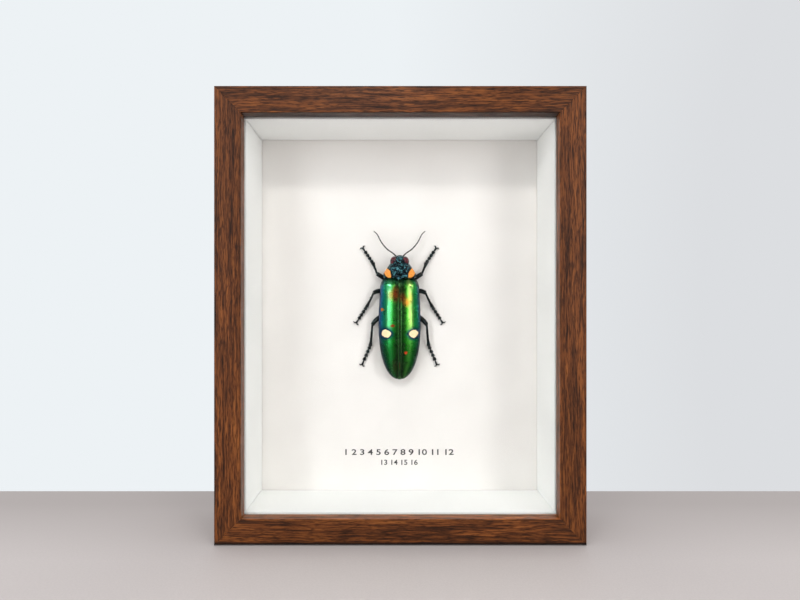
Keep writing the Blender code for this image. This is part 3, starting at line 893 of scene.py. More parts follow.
def base_roll(along):
    """How far the wing cases turn down at their base, where they meet the shield."""
    return ROLL_DOWN * max(0.0, (along - ROLL_START) / (ELYTRA_BASE - ROLL_START)) ** 3


def belly_height(along):
    """The underside over the card: it rises to the tail and a little to the chest."""
    tail = max(0.0, 1 - along / 16) ** 2
    front = max(0.0, along - 50) / 12
    return BELLY + TAIL_LIFT * tail + CHEST_LIFT * front


def bell(value, centre, spread):
    """A smooth hump of height 1."""
    return math.exp(-(((value - centre) / spread) ** 2))


def along_and_swell(latitude, rear, front, cap):
    """Where a ring of the ball goes along the body, and how wide it opens: the caps close both ends."""
    share = math.asin(max(-1.0, min(1.0, latitude))) / math.pi + 0.5
    inner = (share - cap) / (1 - 2 * cap)
    along = rear + (front - rear) * max(0.0, min(1.0, inner))
    swell = math.sin(math.pi / 2 * min(1.0, share / cap, (1 - share) / cap))
    return along, swell


def section_point(point, along, swell, half, top, edge, bottom):
    """A place on an egg-shaped ring: this wide at the side edge, with a vault over it and a keel under."""
    angle = math.atan2(point.x, -point.y)
    rise = (top - edge) if math.cos(angle) > 0 else (edge - bottom)
    return half * math.sin(angle) * swell, edge + rise * math.cos(angle) * swell, along


def trunk_place(point):
    """Where a place on the unit ball goes on the trunk, with its plate edges and the keel of the chest."""
    along, swell = along_and_swell(point.z, 0.0, TRUNK_FRONT, TRUNK_CAP)
    edge = side_height(along)
    half = max(0.9, half_width(along) - CASE_THICKNESS - SIDE_GAP)
    vault = back_height(along) - 1.15 * base_roll(along) - CASE_THICKNESS - TOP_GAP
    top = max(edge + 0.1, vault)
    across, height, along = section_point(
        point, along, swell, half, top, edge - 0.2, belly_height(along)
    )
    groove = sum(bell(along, place, 0.35) for place in PLATE_EDGES)
    keel = bell(across, 0, 1.1) * (1 if along > 34 else 0)
    under = max(0.0, min(1.0, (edge - height) / 2))
    pinch = 1 - NARROWING * groove * under
    lift = under * (PLATE_GROOVE * groove - KEEL * keel)
    return beetle_point(across * pinch, height + lift, along)


trunk = add_ball("thorax_and_abdomen", 72, 150)
form(trunk, trunk_place)
face_out(trunk)
end_edit(trunk, 60)

# Cuticle of the underside: dark bronze green, closely pitted every 0.35 mm, with a metallic lustre.
belly_cuticle, tree = new_tree("bronze_green_belly_cuticle")
place = add_node(tree, "TexCoord")
pits = add_node(tree, "TexVoronoi", {"Vector": (place, "Object"), "Scale": 1 / (0.35 * MM)})
flush = add_node(
    tree, "TexNoise", {"Vector": (place, "Object"), "Scale": 1 / (4 * MM), "Detail": 2.0}
)
belly_tint = add_node(
    tree,
    "ValToRGB",
    {"Fac": (flush, "Fac")},
    stops=((0.35, colour("#0d3b30")), (0.52, colour("#2a5a24")), (0.68, colour("#6b4a1c"))),
)
belly_bump = add_node(
    tree, "Bump", {"Height": (pits, "Distance"), "Strength": 0.45, "Distance": 0.08 * MM}
)
belly = add_node(
    tree,
    "BsdfPrincipled",
    {
        "Base Color": (belly_tint, "Color"),
        "Metallic": 0.75,
        "Roughness": 0.34,
        "Normal": (belly_bump, "Normal"),
    },
)
add_node(tree, "OutputMaterial", {"Surface": (belly, "BSDF")})
trunk.data.materials.append(belly_cuticle)
finish_piece(trunk, "chitin", "thorax_abdomen")

# ----------------------------------------------------------------- wing cases
# Two hard wing cases that meet along the middle of the back, where a seam shows. Each is a thin vault with
# a raised rim, low ribs, a lump at the shoulder and a few small teeth at the tip.

SIDE_RIM, SUTURE_RIM, RIB_HEIGHT = 0.16, 0.17, 0.05  # how far they stand proud, in mm
RIBS = (0.2, 0.4, 0.6, 0.79)  # where they run, as shares of the way from the seam to the side
SHOULDER_LUMP, SHOULDER_HOLLOW = 0.8, 0.4
TIP_TEETH, TOOTH_PITCH = 0.34, 1.5
SEAM_GAP = 0.17  # half the gap between the wing cases


def case_relief(across, share, along, side):
    """How far, in mm, the wing case stands proud of its smooth vault."""
    suture = SUTURE_RIM * bell(across, 0.42, 0.24) - 0.07 * bell(across, 1.05, 0.3)
    rim = SIDE_RIM * bell(share, 0.965, 0.02) - 0.09 * bell(share, 0.915, 0.03)
    ribs = sum(bell(share, rib, 0.022) for rib in RIBS)
    ribs *= RIB_HEIGHT * max(0.0, min(1.0, (along - 5) / 8, (50 - along) / 10))
    shoulder = SHOULDER_LUMP * bell(across, 7.0, 1.6) * bell(along, 50.3, 2.4)
    hollow = SHOULDER_HOLLOW * bell(across, 4.1, 1.5) * bell(along, 52.0, 1.3)
    uneven = 0.07 * noise.noise(Vector((side * across / 3.2, along / 5.5, 0.0)))
    uneven += 0.03 * noise.noise(Vector((side * across / 1.1, along / 1.9, 3.0)))
    return suture + rim + ribs + shoulder - hollow + uneven


def form_wing_case(name, side):
    """The wing case of one side, -1 for the left one. It keeps a map of its own: X from the seam to the
    side, and Y from the tail to the base."""
    start_alone()
    bpy.ops.mesh.primitive_grid_add(x_subdivisions=56, y_subdivisions=190, size=1)
    case = bpy.context.object
    case.name = name

    def case_place(point):
        """Where a place on the flat grid goes on the vault."""
        share, up = point.x + 0.5, (point.y + 0.5) ** 1.5
        along = ELYTRA_TIP + (ELYTRA_BASE - ELYTRA_TIP) * up
        inner = SEAM_GAP + 1.0 * max(0.0, 1 - (along - ELYTRA_TIP) / 3.0) ** 2
        teeth = TIP_TEETH * max(0.0, 1 - along / 9) * abs(math.sin(along * math.pi / TOOTH_PITCH))
        outer = half_width(along) - teeth * share**6
        edge, turn = side_height(along), share * math.pi / 2
        rise = back_height(along) - edge
        across = inner + (outer - inner) * math.sin(turn)
        height = edge + rise * math.cos(turn) - base_roll(along)
        outward = Vector((math.sin(turn) * max(rise, 0.5), math.cos(turn) * outer)).normalized()
        proud = case_relief(across, share, along, side) * min(1.0, rise / 2)
        return beetle_point(
            side * (across + outward.x * proud), height + outward.y * proud, along
        )

    form(case, case_place)
    if side < 0:
        pick(case, "FACE", lambda face: True)
        bpy.ops.mesh.flip_normals()
    work_on(case)
    bpy.ops.object.modifier_add(type="SOLIDIFY")
    case.modifiers[-1].thickness = CASE_THICKNESS * MM
    case.modifiers[-1].offset = -1
    bpy.ops.object.modifier_apply(modifier=case.modifiers[-1].name)
    return end_edit(case, 50)


RIGHT_THROUGH = 100.0  # so long a radius that the oval looks the same at every depth


def add_spot(tree, vector, centre, radii, tilt=0.0, ease=1.0):
    """A mask that is 1 inside an oval on the back and fades to 0 at its edge, over this share of its
    radius. Sizes are in mm and the tilt in degrees. The oval goes right through the beetle."""
    across, along = centre
    oval = add_node(
        tree,
        "Mapping",
        {
            "Vector": vector,
            "Location": (across * MM, 0.0, (BEETLE_TAIL_Z + along) * MM),
            "Rotation": (0.0, math.radians(tilt), 0.0),
            "Scale": (radii[0] * MM, RIGHT_THROUGH, radii[1] * MM),
        },
        vector_type="TEXTURE",
    )
    fall = add_node(tree, "TexGradient", {"Vector": (oval, "Vector")}, gradient_type="SPHERICAL")
    return add_node(
        tree,
        "MapRange",
        {"Value": (fall, "Color"), "From Min": 0.0, "From Max": ease},
        interpolation_type="SMOOTHSTEP",
    )


def blend_in(tree, under, over, mask, strength=1.0):
    """Lays one colour over another where the mask says."""
    amount = add_node(tree, "Math", {0: mask, 1: strength}, operation="MULTIPLY")
    return add_node(
        tree, "Mix", {0: (amount, "Value"), 6: under, 7: over}, data_type="RGBA"
    )


# Jewel beetle cuticle: thin clear layers over black that shine green, bluer to the sides, and finely pitted
# every 0.4 mm. A bright band down each wing case is a painted highlight, and the darkening towards the tail
# is painted shade. The base is painted dark, a painted shade, and the seam is dark; the orange, red and
# yellow patches are painted reflections, and two other patches are dark. The cream spots, ringed with blue,
# are plain pigment with no metal lustre.
wing_cuticle, tree = new_tree("layered_green_wing_cuticle")
place = add_node(tree, "TexCoord")
own_map = add_node(tree, "UVMap")
split_map = add_node(tree, "SeparateXYZ", {"Vector": (own_map, "UV")})
split = add_node(tree, "SeparateXYZ", {"Vector": (place, "Object")})
patchy = add_node(
    tree,
    "TexNoise",
    {"Vector": (place, "Object"), "Scale": 1 / (3.5 * MM), "Detail": 3.0, "Roughness": 0.6},
)
wander = add_node(
    tree,
    "Math",
    {0: (patchy, "Fac"), 1: 0.12, 2: (split_map, "X")},
    operation="MULTIPLY_ADD",
)
sideways = add_node(tree, "Math", {0: (wander, "Value"), 1: 0.06}, operation="SUBTRACT")
# Painted highlight: the bright stop a third of the way from the seam to the side is a painted highlight band
# down each wing case, and the right side's band is yellower and brighter.
left_green_and_highlight = add_node(
    tree,
    "ValToRGB",
    {"Fac": (sideways, "Value")},
    stops=(
        (0.0, colour("#1c5420")),
        (0.1, colour("#174c1a")),
        (0.22, colour("#2a9030")),
        (0.34, colour("#6ee094")),
        (0.48, colour("#189058")),
        (0.62, colour("#0a6a74")),
        (0.76, colour("#08487c")),
        (0.92, colour("#122c54")),
    ),
)
right_green_and_highlight = add_node(
    tree,
    "ValToRGB",
    {"Fac": (sideways, "Value")},
    stops=(
        (0.0, colour("#1c5420")),
        (0.1, colour("#184c18")),
        (0.22, colour("#3a9428")),
        (0.34, colour("#aede74")),
        (0.48, colour("#259c40")),
        (0.62, colour("#0c7850")),
        (0.76, colour("#094c62")),
        (0.92, colour("#102c44")),
    ),
)
which_side = add_node(
    tree,
    "MapRange",
    {"Value": (split, "X"), "From Min": -2.5 * MM, "From Max": 2.5 * MM},
)
green = add_node(
    tree,
    "Mix",
    {0: (which_side, "Result"), 6: (left_green_and_highlight, "Color"), 7: (right_green_and_highlight, "Color")},
    data_type="RGBA",
)
# Painted shade: the colour is darkened towards the tail, where the highlights fade.
tail_painted_shade = add_node(
    tree,
    "ValToRGB",
    {"Fac": (split_map, "Y")},
    stops=(
        (0.06, colour("#0c4034")),
        (0.44, colour("#2f9050")),
        (0.57, colour("#80d4a0")),
        (0.68, colour("#ffffff")),
    ),
)
toned = add_node(
    tree,
    "Mix",
    {0: 0.95, 6: (green, 2), 7: (tail_painted_shade, "Color")},
    data_type="RGBA",
    blend_type="MULTIPLY",
)
warp = add_node(tree, "TexNoise", {"Vector": (place, "Object"), "Scale": 1 / (2.2 * MM)})
warp_step = add_node(
    tree,
    "MapRange",
    {"Vector": (warp, "Color"), 7: (0, 0, 0), 8: (1, 1, 1), 9: (-0.8 * MM,) * 3, 10: (0.8 * MM,) * 3},
    data_type="FLOAT_VECTOR",
)
warped = add_node(
    tree, "VectorMath", {0: (place, "Object"), 1: (warp_step, "Vector")}, operation="ADD"
)
seam = add_node(
    tree,
    "ValToRGB",
    {"Fac": (split_map, "X")},
    stops=((0.016, 1.0), (0.026, 0.0), (0.05, 0.0), (0.06, 0.4), (0.1, 0.0)),
)
pale_line = add_node(
    tree,
    "ValToRGB",
    {"Fac": (split_map, "X")},
    stops=((0.02, 0.0), (0.034, 1.0), (0.05, 0.0)),
)
# The painted shade at the base is arched over each shoulder lump.
aside = add_node(tree, "Math", {0: (split, "X")}, operation="ABSOLUTE")
off_hump = add_node(tree, "Math", {0: (aside, "Value"), 1: 5.6 * MM}, operation="SUBTRACT")
arch = add_node(
    tree, "Math", {0: (off_hump, "Value"), 1: (off_hump, "Value")}, operation="MULTIPLY"
)
arched = add_node(
    tree,
    "Math",
    {0: (arch, "Value"), 1: 0.12 / MM, 2: (split, "Z")},
    operation="MULTIPLY_ADD",
)
base_shade = add_node(
    tree,
    "MapRange",
    {
        "Value": (arched, "Value"),
        "From Min": (BEETLE_TAIL_Z + 50.2) * MM,
        "From Max": (BEETLE_TAIL_Z + 54.0) * MM,
    },
    interpolation_type="SMOOTHSTEP",
)
tint = (blend_in(tree, (toned, 2), colour("#093a26"), (base_shade, "Result"), 0.88), 2)
tint = (blend_in(tree, tint, colour("#5a9850"), (pale_line, "Color"), 0.6), 2)
tint = (blend_in(tree, tint, colour("#06180a"), (seam, "Color"), 0.9), 2)
# A row for each patch: plain or wandering edge, centre and radii in mm, fade, colour and strength.
# The orange, red and yellow rows are painted reflections of something warm; the first and the last rows are
# dark patches.
for source, centre, radii, ease, hue, strength in (
    (place, (0.2, 47.2), (5.4, 7.0), 1.0, "#1a240a", 0.9),
    (place, (-2.6, 45.6), (3.0, 6.0), 1.0, "#7c3010", 0.9),
    (place, (1.8, 43.6), (3.0, 3.4), 1.0, "#7c3410", 0.75),
    (place, (-5.2, 45.0), (2.0, 4.4), 1.0, "#b8702c", 0.6),
    (place, (3.8, 41.2), (3.0, 3.4), 1.0, "#c8782c", 0.85),
    (place, (5.6, 43.4), (2.0, 4.4), 1.0, "#d0b848", 0.6),
    (warped, (-9.2, 37.4), (1.0, 1.0), 0.4, "#c87822", 1.0),
    (warped, (-3.7, 28.9), (1.7, 0.9), 0.4, "#8c2616", 0.9),
    (warped, (3.2, 14.8), (1.1, 0.8), 0.4, "#c8401c", 1.0),
    (place, (-3.0, 7.0), (2.6, 6.0), 1.0, "#2c2a10", 0.6),
):
    output = "Object" if source is place else "Vector"
    spot = add_spot(tree, (source, output), centre, radii, ease=ease)
    tint = (blend_in(tree, tint, colour(hue), (spot, "Result"), strength), 2)
CREAM_SPOTS = (((-7.1, 24.9), 12), ((7.4, 24.8), -12))  # centre in mm and tilt in degrees
for centre, _ in CREAM_SPOTS:
    ring = add_spot(tree, (warped, "Vector"), centre, (5.0, 4.3), ease=0.5)
    tint = (blend_in(tree, tint, colour("#0c2250"), (ring, "Result"), 0.95), 2)
cream_mask = None
for centre, tilt in CREAM_SPOTS:
    cream = add_spot(tree, (warped, "Vector"), centre, (2.45, 2.05), tilt, ease=0.07)
    tint = (blend_in(tree, tint, colour("#ffe3b4"), (cream, "Result")), 2)
    if cream_mask is None:
        cream_mask = (cream, "Result")
    else:
        both = add_node(tree, "Math", {0: cream_mask, 1: (cream, "Result")}, operation="MAXIMUM")
        cream_mask = (both, "Value")
metal_share = add_node(
    tree, "MapRange", {"Value": cream_mask, "To Min": 0.92, "To Max": 0.0}
)
gloss = add_node(
    tree,
    "MapRange",
    {"Value": (patchy, "Fac"), "From Min": 0.3, "From Max": 0.7, "To Min": 0.24, "To Max": 0.33},
)
pits = add_node(tree, "TexVoronoi", {"Vector": (place, "Object"), "Scale": 1 / (0.42 * MM)})
pit_depth = add_node(
    tree,
    "MapRange",
    {"Value": (pits, "Distance"), "From Min": 0.05, "From Max": 0.4},
    interpolation_type="SMOOTHSTEP",
)
creases = add_node(
    tree, "TexNoise", {"Vector": (place, "Object"), "Scale": 1 / (0.8 * MM), "Detail": 3.0}
)
surface = add_node(
    tree, "Math", {0: (creases, "Fac"), 1: 0.6, 2: (pit_depth, "Result")}, operation="MULTIPLY_ADD"
)
wing_bump = add_node(
    tree, "Bump", {"Height": (surface, "Value"), "Strength": 0.22, "Distance": 0.05 * MM}
)
wing_shader = add_node(
    tree,
    "BsdfPrincipled",
    {
        "Base Color": tint,
        "Metallic": (metal_share, "Result"),
        "Roughness": (gloss, "Result"),
        "Normal": (wing_bump, "Normal"),
    },
)
add_node(tree, "OutputMaterial", {"Surface": (wing_shader, "BSDF")})

for side, word in ((-1, "left"), (1, "right")):
    wing_case = form_wing_case(f"wing_case_{word}", side)
    wing_case.data.materials.append(wing_cuticle)
    finish_piece(wing_case, "wing_case", f"elytron_{word}")

# ------------------------------------------------------ pronotum, scutellum
# The shield over the front of the chest, coarsely wrinkled, with a groove down its middle and a pit at
# its base. The scutellum is the small plate behind it, wedged between the wing cases.

# Stations along the shield in mm, with its half width and the height of its top at each.
SHIELD_STATIONS = (54.3, 54.9, 56.6, 58.4, 60.4, 61.9, 62.4)
SHIELD_HALF_WIDTHS = (8.5, 8.8, 8.7, 7.7, 6.3, 5.3, 4.9)
SHIELD_TOPS = (12.5, 13.1, 13.2, 12.9, 12.1, 11.2, 10.7)
SHIELD_REAR, SHIELD_FRONT = SHIELD_STATIONS[0], SHIELD_STATIONS[-1]
SHIELD_CAP = 0.07  # the caps that close its ends are this share of its length


def shield_place(point):
    """Where a place on the unit ball goes on the shield, with its wrinkles, groove and pits."""
    along, swell = along_and_swell(point.z, SHIELD_REAR, SHIELD_FRONT, SHIELD_CAP)
    half = float(np.interp(along, SHIELD_STATIONS, SHIELD_HALF_WIDTHS))
    top = float(np.interp(along, SHIELD_STATIONS, SHIELD_TOPS))
    edge = 7.8 - 0.1 * (along - SHIELD_REAR)
    bottom = 3.0 + 0.12 * (along - SHIELD_REAR)
    across, height, along = section_point(point, along, swell, half, top, edge, bottom)
    above = max(0.0, min(1.0, (height - edge) / 1.5))
    wrinkle = noise.noise(Vector((across / 1.3, along / 0.65, 0.0)))
    wrinkle += 0.6 * noise.noise(Vector((across / 0.6, along / 0.5, 7.0)))
    middle_groove = 0.35 * bell(across, 0, 0.35)
    rear_rim = 0.2 * bell(along, 54.5, 0.25)
    middle_pit = 0.9 * bell(across, 0, 1.2) * bell(along, 55.4, 0.9)
    side_pits = 0.45 * bell(abs(across), 5.2, 1.1) * bell(along, 56.4, 1.4)
    lift = 0.26 * wrinkle - middle_groove + rear_rim - middle_pit - side_pits
    flow = 1 + 0.25 * bell(abs(across), 2.6, 1.0)
    return beetle_point(across, height + above * swell * lift * flow, along)


shield = add_ball("pronotum_shield", 160, 90)
form(shield, shield_place)
face_out(shield)
end_edit(shield, 60)

# Cuticle of head and shield: blue-black with a greasy metal lustre, wrinkled every 0.5 to 1.5 mm, and painted
# highlights: thin pale teal glints along the wrinkles. The hind corners carry patches of plain orange
# pigment, bordered with black.
shield_cuticle, tree = new_tree("wrinkled_dark_teal_cuticle")
place = add_node(tree, "TexCoord")
wrinkles = add_node(
    tree,
    "TexNoise",
    {"Vector": (place, "Object"), "Scale": 1 / (1.7 * MM), "Detail": 3.0, "Distortion": 1.8},
)
# The pale stop is a painted glint on the wrinkles, a painted highlight.
teal = add_node(
    tree,
    "ValToRGB",
    {"Fac": (wrinkles, "Fac")},
    stops=(
        (0.4, colour("#020c14")),
        (0.5, colour("#07222c")),
        (0.55, colour("#0e4048")),
        (0.6, colour("#6cb2bc")),
        (0.65, colour("#16505a")),
        (0.74, colour("#072630")),
    ),
)
warp = add_node(tree, "TexNoise", {"Vector": (place, "Object"), "Scale": 1 / (1.6 * MM)})
warp_step = add_node(
    tree,
    "MapRange",
    {"Vector": (warp, "Color"), 7: (0, 0, 0), 8: (1, 1, 1), 9: (-0.5 * MM,) * 3, 10: (0.5 * MM,) * 3},
    data_type="FLOAT_VECTOR",
)
warped = add_node(
    tree, "VectorMath", {0: (place, "Object"), 1: (warp_step, "Vector")}, operation="ADD"
)
# Painted shade: the pit at the base of the shield is darkened to near black.
pit = add_spot(tree, (warped, "Vector"), (0.1, 55.9), (1.7, 2.0), ease=0.7)
tint = (blend_in(tree, (teal, "Color"), colour("#04080c"), (pit, "Result"), 0.9), 2)
PATCH_ACROSS, PATCH_ALONG, PATCH_TILT = 6.5, 56.9, 28
orange_mask = None
for side in (-1, 1):
    centre = (side * PATCH_ACROSS, PATCH_ALONG)
    border = add_spot(tree, (warped, "Vector"), centre, (2.5, 4.3), side * PATCH_TILT, ease=0.25)
    tint = (blend_in(tree, tint, colour("#060e10"), (border, "Result"), 0.95), 2)
    orange = add_spot(tree, (warped, "Vector"), centre, (1.6, 3.4), side * PATCH_TILT, ease=0.08)
    tint = (blend_in(tree, tint, colour("#f09a3a"), (orange, "Result")), 2)
    if orange_mask is None:
        orange_mask = (orange, "Result")
    else:
        both = add_node(tree, "Math", {0: orange_mask, 1: (orange, "Result")}, operation="MAXIMUM")
        orange_mask = (both, "Value")
shield_metal = add_node(tree, "MapRange", {"Value": orange_mask, "To Min": 0.7, "To Max": 0.0})
shield_bump = add_node(
    tree, "Bump", {"Height": (wrinkles, "Fac"), "Strength": 1.0, "Distance": 0.4 * MM}
)
shield_shader = add_node(
    tree,
    "BsdfPrincipled",
    {
        "Base Color": tint,
        "Metallic": (shield_metal, "Result"),
        "Roughness": 0.24,
        "Normal": (shield_bump, "Normal"),
    },
)
add_node(tree, "OutputMaterial", {"Surface": (shield_shader, "BSDF")})
shield.data.materials.append(shield_cuticle)
finish_piece(shield, "wing_case", "pronotum")

SCUTELLUM_HEIGHT, SCUTELLUM_ALONG = 13.0, 53.9
SCUTELLUM_HALF = Vector((1.5, 0.35, 0.75))  # half its width, thickness and length
scutellum = add_ball("scutellum", 32, 16)


def scutellum_place(point):
    """Where a place on the unit ball goes on the small plate: it narrows to the rear."""
    taper = 1 - 0.45 * max(0.0, -point.z)
    return beetle_point(
        SCUTELLUM_HALF.x * point.x * taper,
        SCUTELLUM_HEIGHT - SCUTELLUM_HALF.y * point.y,
        SCUTELLUM_ALONG + SCUTELLUM_HALF.z * point.z,
    )


form(scutellum, scutellum_place)
face_out(scutellum)
end_edit(scutellum, 60)
scutellum.data.materials.append(shield_cuticle)
finish_piece(scutellum, "wing_case")

# ----------------------------------------------------------------------- head
# The head sits down in the front of the chest: a grooved brow between two large eyes, with the lip under its
# front edge.

HEAD_HEIGHT, HEAD_ALONG = 7.3, 63.0  # its middle, over the card and forward from the tail
HEAD_HALF = Vector((4.3, 3.5, 3.3))  # half its width, height and length
BROW_GROOVE, BROW_DENTS, BROW_WRINKLES, BROW_RADIUS = 0.35, 0.35, 0.14, 3.4
LIP_HEIGHT, LIP_ALONG = 6.9, 65.9
LIP_HALF = Vector((1.9, 1.3, 0.8))
EYE_ACROSS, EYE_HEIGHT, EYE_ALONG = 3.45, 8.9, 63.7
EYE_HALF = Vector((1.6, 2.0, 2.15))
EYE_LEAN = -0.22  # how far it nears the middle for each mm forward


def head_place(point):
    """Where a place on the unit ball goes on the head, with the groove and the dents of its brow."""
    across, height, along = (
        HEAD_HALF.x * point.x,
        HEAD_HALF.y * -point.y,
        HEAD_HALF.z * point.z,
    )
    facing = max(0.0, -point.y + 0.4 * point.z)
    groove = BROW_GROOVE * bell(across, 0, 0.3)
    dents = BROW_DENTS * bell(abs(across), 1.3, 0.7) * bell(along, 1.4, 1.2)
    rough = BROW_WRINKLES * noise.noise(Vector((across, height, along)) / 0.7)
    shrink = 1 - (groove + dents - rough) * facing / BROW_RADIUS
    return beetle_point(across * shrink, HEAD_HEIGHT + height * shrink, HEAD_ALONG + along)


head = add_ball("head", 96, 64)
form(head, head_place)
face_out(head)
end_edit(head, 60)
head.data.materials.append(shield_cuticle)
finish_piece(head, "chitin", "head")


def lip_place(point):
    """Where a place on the unit ball goes on the lip, uneven as the jaws under it push it out."""
    bulge = 1 + 0.12 * noise.noise(point * 2.0)
    return beetle_point(
        LIP_HALF.x * point.x * bulge,
        LIP_HEIGHT - LIP_HALF.y * point.y,
        LIP_ALONG + LIP_HALF.z * point.z * bulge,
    )


lip = add_ball("upper_lip", 40, 24)
form(lip, lip_place)
face_out(lip)
end_edit(lip, 60)

# Cuticle of the lip, jaws and legs: almost black with a green cast, smooth and glossy, sparsely pitted.
leg_cuticle, tree = new_tree("glossy_black_green_cuticle")
place = add_node(tree, "TexCoord")
pores = add_node(tree, "TexVoronoi", {"Vector": (place, "Object"), "Scale": 1 / (0.3 * MM)})
cast = add_node(tree, "TexNoise", {"Vector": (place, "Object"), "Scale": 1 / (1.8 * MM)})
leg_tint = add_node(
    tree,
    "ValToRGB",
    {"Fac": (cast, "Fac")},
    stops=((0.35, colour("#030708")), (0.55, colour("#051012")), (0.7, colour("#0a2224"))),
)
leg_bump = add_node(
    tree, "Bump", {"Height": (pores, "Distance"), "Strength": 0.3, "Distance": 0.05 * MM}
)
leg_shader = add_node(
    tree,
    "BsdfPrincipled",
    {
        "Base Color": (leg_tint, "Color"),
        "Metallic": 0.1,
        "Roughness": 0.36,
        "Specular IOR Level": 0.25,
        "Normal": (leg_bump, "Normal"),
    },
)
add_node(tree, "OutputMaterial", {"Surface": (leg_shader, "BSDF")})
lip.data.materials.append(leg_cuticle)
finish_piece(lip, "chitin")

# Compound eye: thousands of tiny lenses over dark red pigment, so a satin wine-red with a soft highlight.
# The lenses are drawn every 0.12 mm, three times their real size, so that they show.
eye_lenses, tree = new_tree("wine_red_compound_eye")
place = add_node(tree, "TexCoord")
lenses = add_node(tree, "TexVoronoi", {"Vector": (place, "Object"), "Scale": 1 / (0.12 * MM)})
depth_tone = add_node(tree, "TexNoise", {"Vector": (place, "Object"), "Scale": 1 / (1.4 * MM)})
eye_tint = add_node(
    tree,
    "ValToRGB",
    {"Fac": (depth_tone, "Fac")},
    stops=((0.35, colour("#28060c")), (0.55, colour("#54101a")), (0.7, colour("#7c2430"))),
)
eye_bump = add_node(
    tree, "Bump", {"Height": (lenses, "Distance"), "Strength": 0.35, "Distance": 0.04 * MM}
)
eye_shader = add_node(
    tree,
    "BsdfPrincipled",
    {
        "Base Color": (eye_tint, "Color"),
        "Roughness": 0.2,
        "Normal": (eye_bump, "Normal"),
        "Coat Weight": 0.6,
        "Coat Roughness": 0.12,
    },
)
add_node(tree, "OutputMaterial", {"Surface": (eye_shader, "BSDF")})

for side, word in ((-1, "left"), (1, "right")):
    eye = add_ball(f"eye_{word}", 48, 32)

    def eye_place(point):
        """Where a place on the unit ball goes on the eye, whose long axis leans inwards to the front."""
        along = EYE_HALF.z * point.z
        across = EYE_ACROSS + EYE_HALF.x * point.x + EYE_LEAN * along
        return beetle_point(side * across, EYE_HEIGHT - EYE_HALF.y * point.y, EYE_ALONG + along)

    form(eye, eye_place)
    face_out(eye)
    end_edit(eye, 60)
    eye.data.materials.append(eye_lenses)
    finish_piece(eye, "chitin")

# ----------------------------------------------------------- antennae, legs
# Each leg is one dried length of hard skin: a thigh, a straight shin with spurs, a foot of five lobed
# joints, and two hooked claws. The antennae are dull threads of eleven short joints.


def add_tube(points, radii):
    """A round tube through these places in mm, with its own radius at each."""
    curve = bpy.data.curves.new("tube", "CURVE")
    curve.dimensions = "3D"
    curve.bevel_depth = 1.0
    curve.bevel_resolution = 4
    curve.use_fill_caps = True
    spline = curve.splines.new("POLY")
    spline.points.add(len(points) - 1)
    for knot, point, radius in zip(spline.points, points, radii):
        knot.co = (*point, 1.0)
        knot.radius = radius
    tube = bpy.data.objects.new("tube", curve)
    bpy.context.scene.collection.objects.link(tube)
    work_on(tube)
    bpy.ops.object.convert(target="MESH")
    return tube


def smooth_path(stations, steps):
    """(points, radii) on a smooth curve through stations of (across, along, height, radius), with this
    many steps from one to the next."""
    rows = [np.array((s[0], s[2], s[1], s[3]), float) for s in stations]
    rows = [2 * rows[0] - rows[1], *rows, 2 * rows[-1] - rows[-2]]
    points, radii = [], []
    for i in range(1, len(rows) - 2):
        for j in range(steps):
            t = j / steps
            before, a, b, after = rows[i - 1 : i + 3]
            row = 0.5 * (
                2 * a
                + (b - before) * t
                + (2 * before - 5 * a + 4 * b - after) * t**2
                + (3 * a - before - 3 * b + after) * t**3
            )
            points.append(row[:3])
            radii.append(max(0.05, row[3]))
    points.append(rows[-2][:3])
    radii.append(rows[-2][3])
    return points, radii


def weld_skin(name, tubes, mesh_size, material):
    """Joins the tubes, drawn in mm, into one skin meshed this finely, and sets it down on the beetle."""
    start_alone()
    for tube in tubes:
        tube.select_set(True)
    bpy.context.view_layer.objects.active = tubes[0]
    bpy.ops.object.join()
    limb = bpy.context.object
    limb.name = name
    bpy.ops.object.modifier_add(type="REMESH")
    limb.modifiers[-1].mode = "VOXEL"
    limb.modifiers[-1].voxel_size = mesh_size
    bpy.ops.object.modifier_apply(modifier=limb.modifiers[-1].name)
    bpy.ops.object.modifier_add(type="SMOOTH")
    limb.modifiers[-1].iterations = 1
    bpy.ops.object.modifier_apply(modifier=limb.modifiers[-1].name)
    form(limb, lambda point: beetle_point(*point))
    face_out(limb)
    end_edit(limb, 60)
    limb.data.materials.append(material)
    return limb


def foot_tubes(ankle, tip, joints):
    """The lobed joints of a foot between two places, and its claws."""
    ankle, tip = Vector(ankle), Vector(tip)
    reach = tip - ankle
    ahead = reach.normalized()
    aside = Vector((ahead.z, 0, -ahead.x)).normalized()
    step = reach / (joints + 0.2)
    tubes = [add_tube([ankle, ankle + step * joints], (0.34, 0.3))]
    # Each joint has a lobe on either side, except the last one, which is slim and carries the claws.
    for i in range(joints):
        start, end = ankle + step * i, ankle + step * (i + 0.9)
        last = i == joints - 1
        for lean in (-1, 1):
            spread = aside * lean * (0.1 if last else 0.8)
            middle = start.lerp(end, 0.6) + spread * 0.42
            widths = (0.3, 0.46, 0.46) if last else (0.26, 0.6, 0.34)
            tubes.append(add_tube([start, middle, end + spread], widths))
    root = ankle + step * joints
    for lean in (-1, 1):
        bend = root + ahead * 0.75 + aside * lean * 0.9 + Vector((0, 0.35, 0))
        point = root + ahead * 0.45 + aside * lean * 1.75 - Vector((0, 0.3, 0))
        tubes.append(add_tube([root, bend, point], (0.38, 0.38, 0.14)))
    return tubes


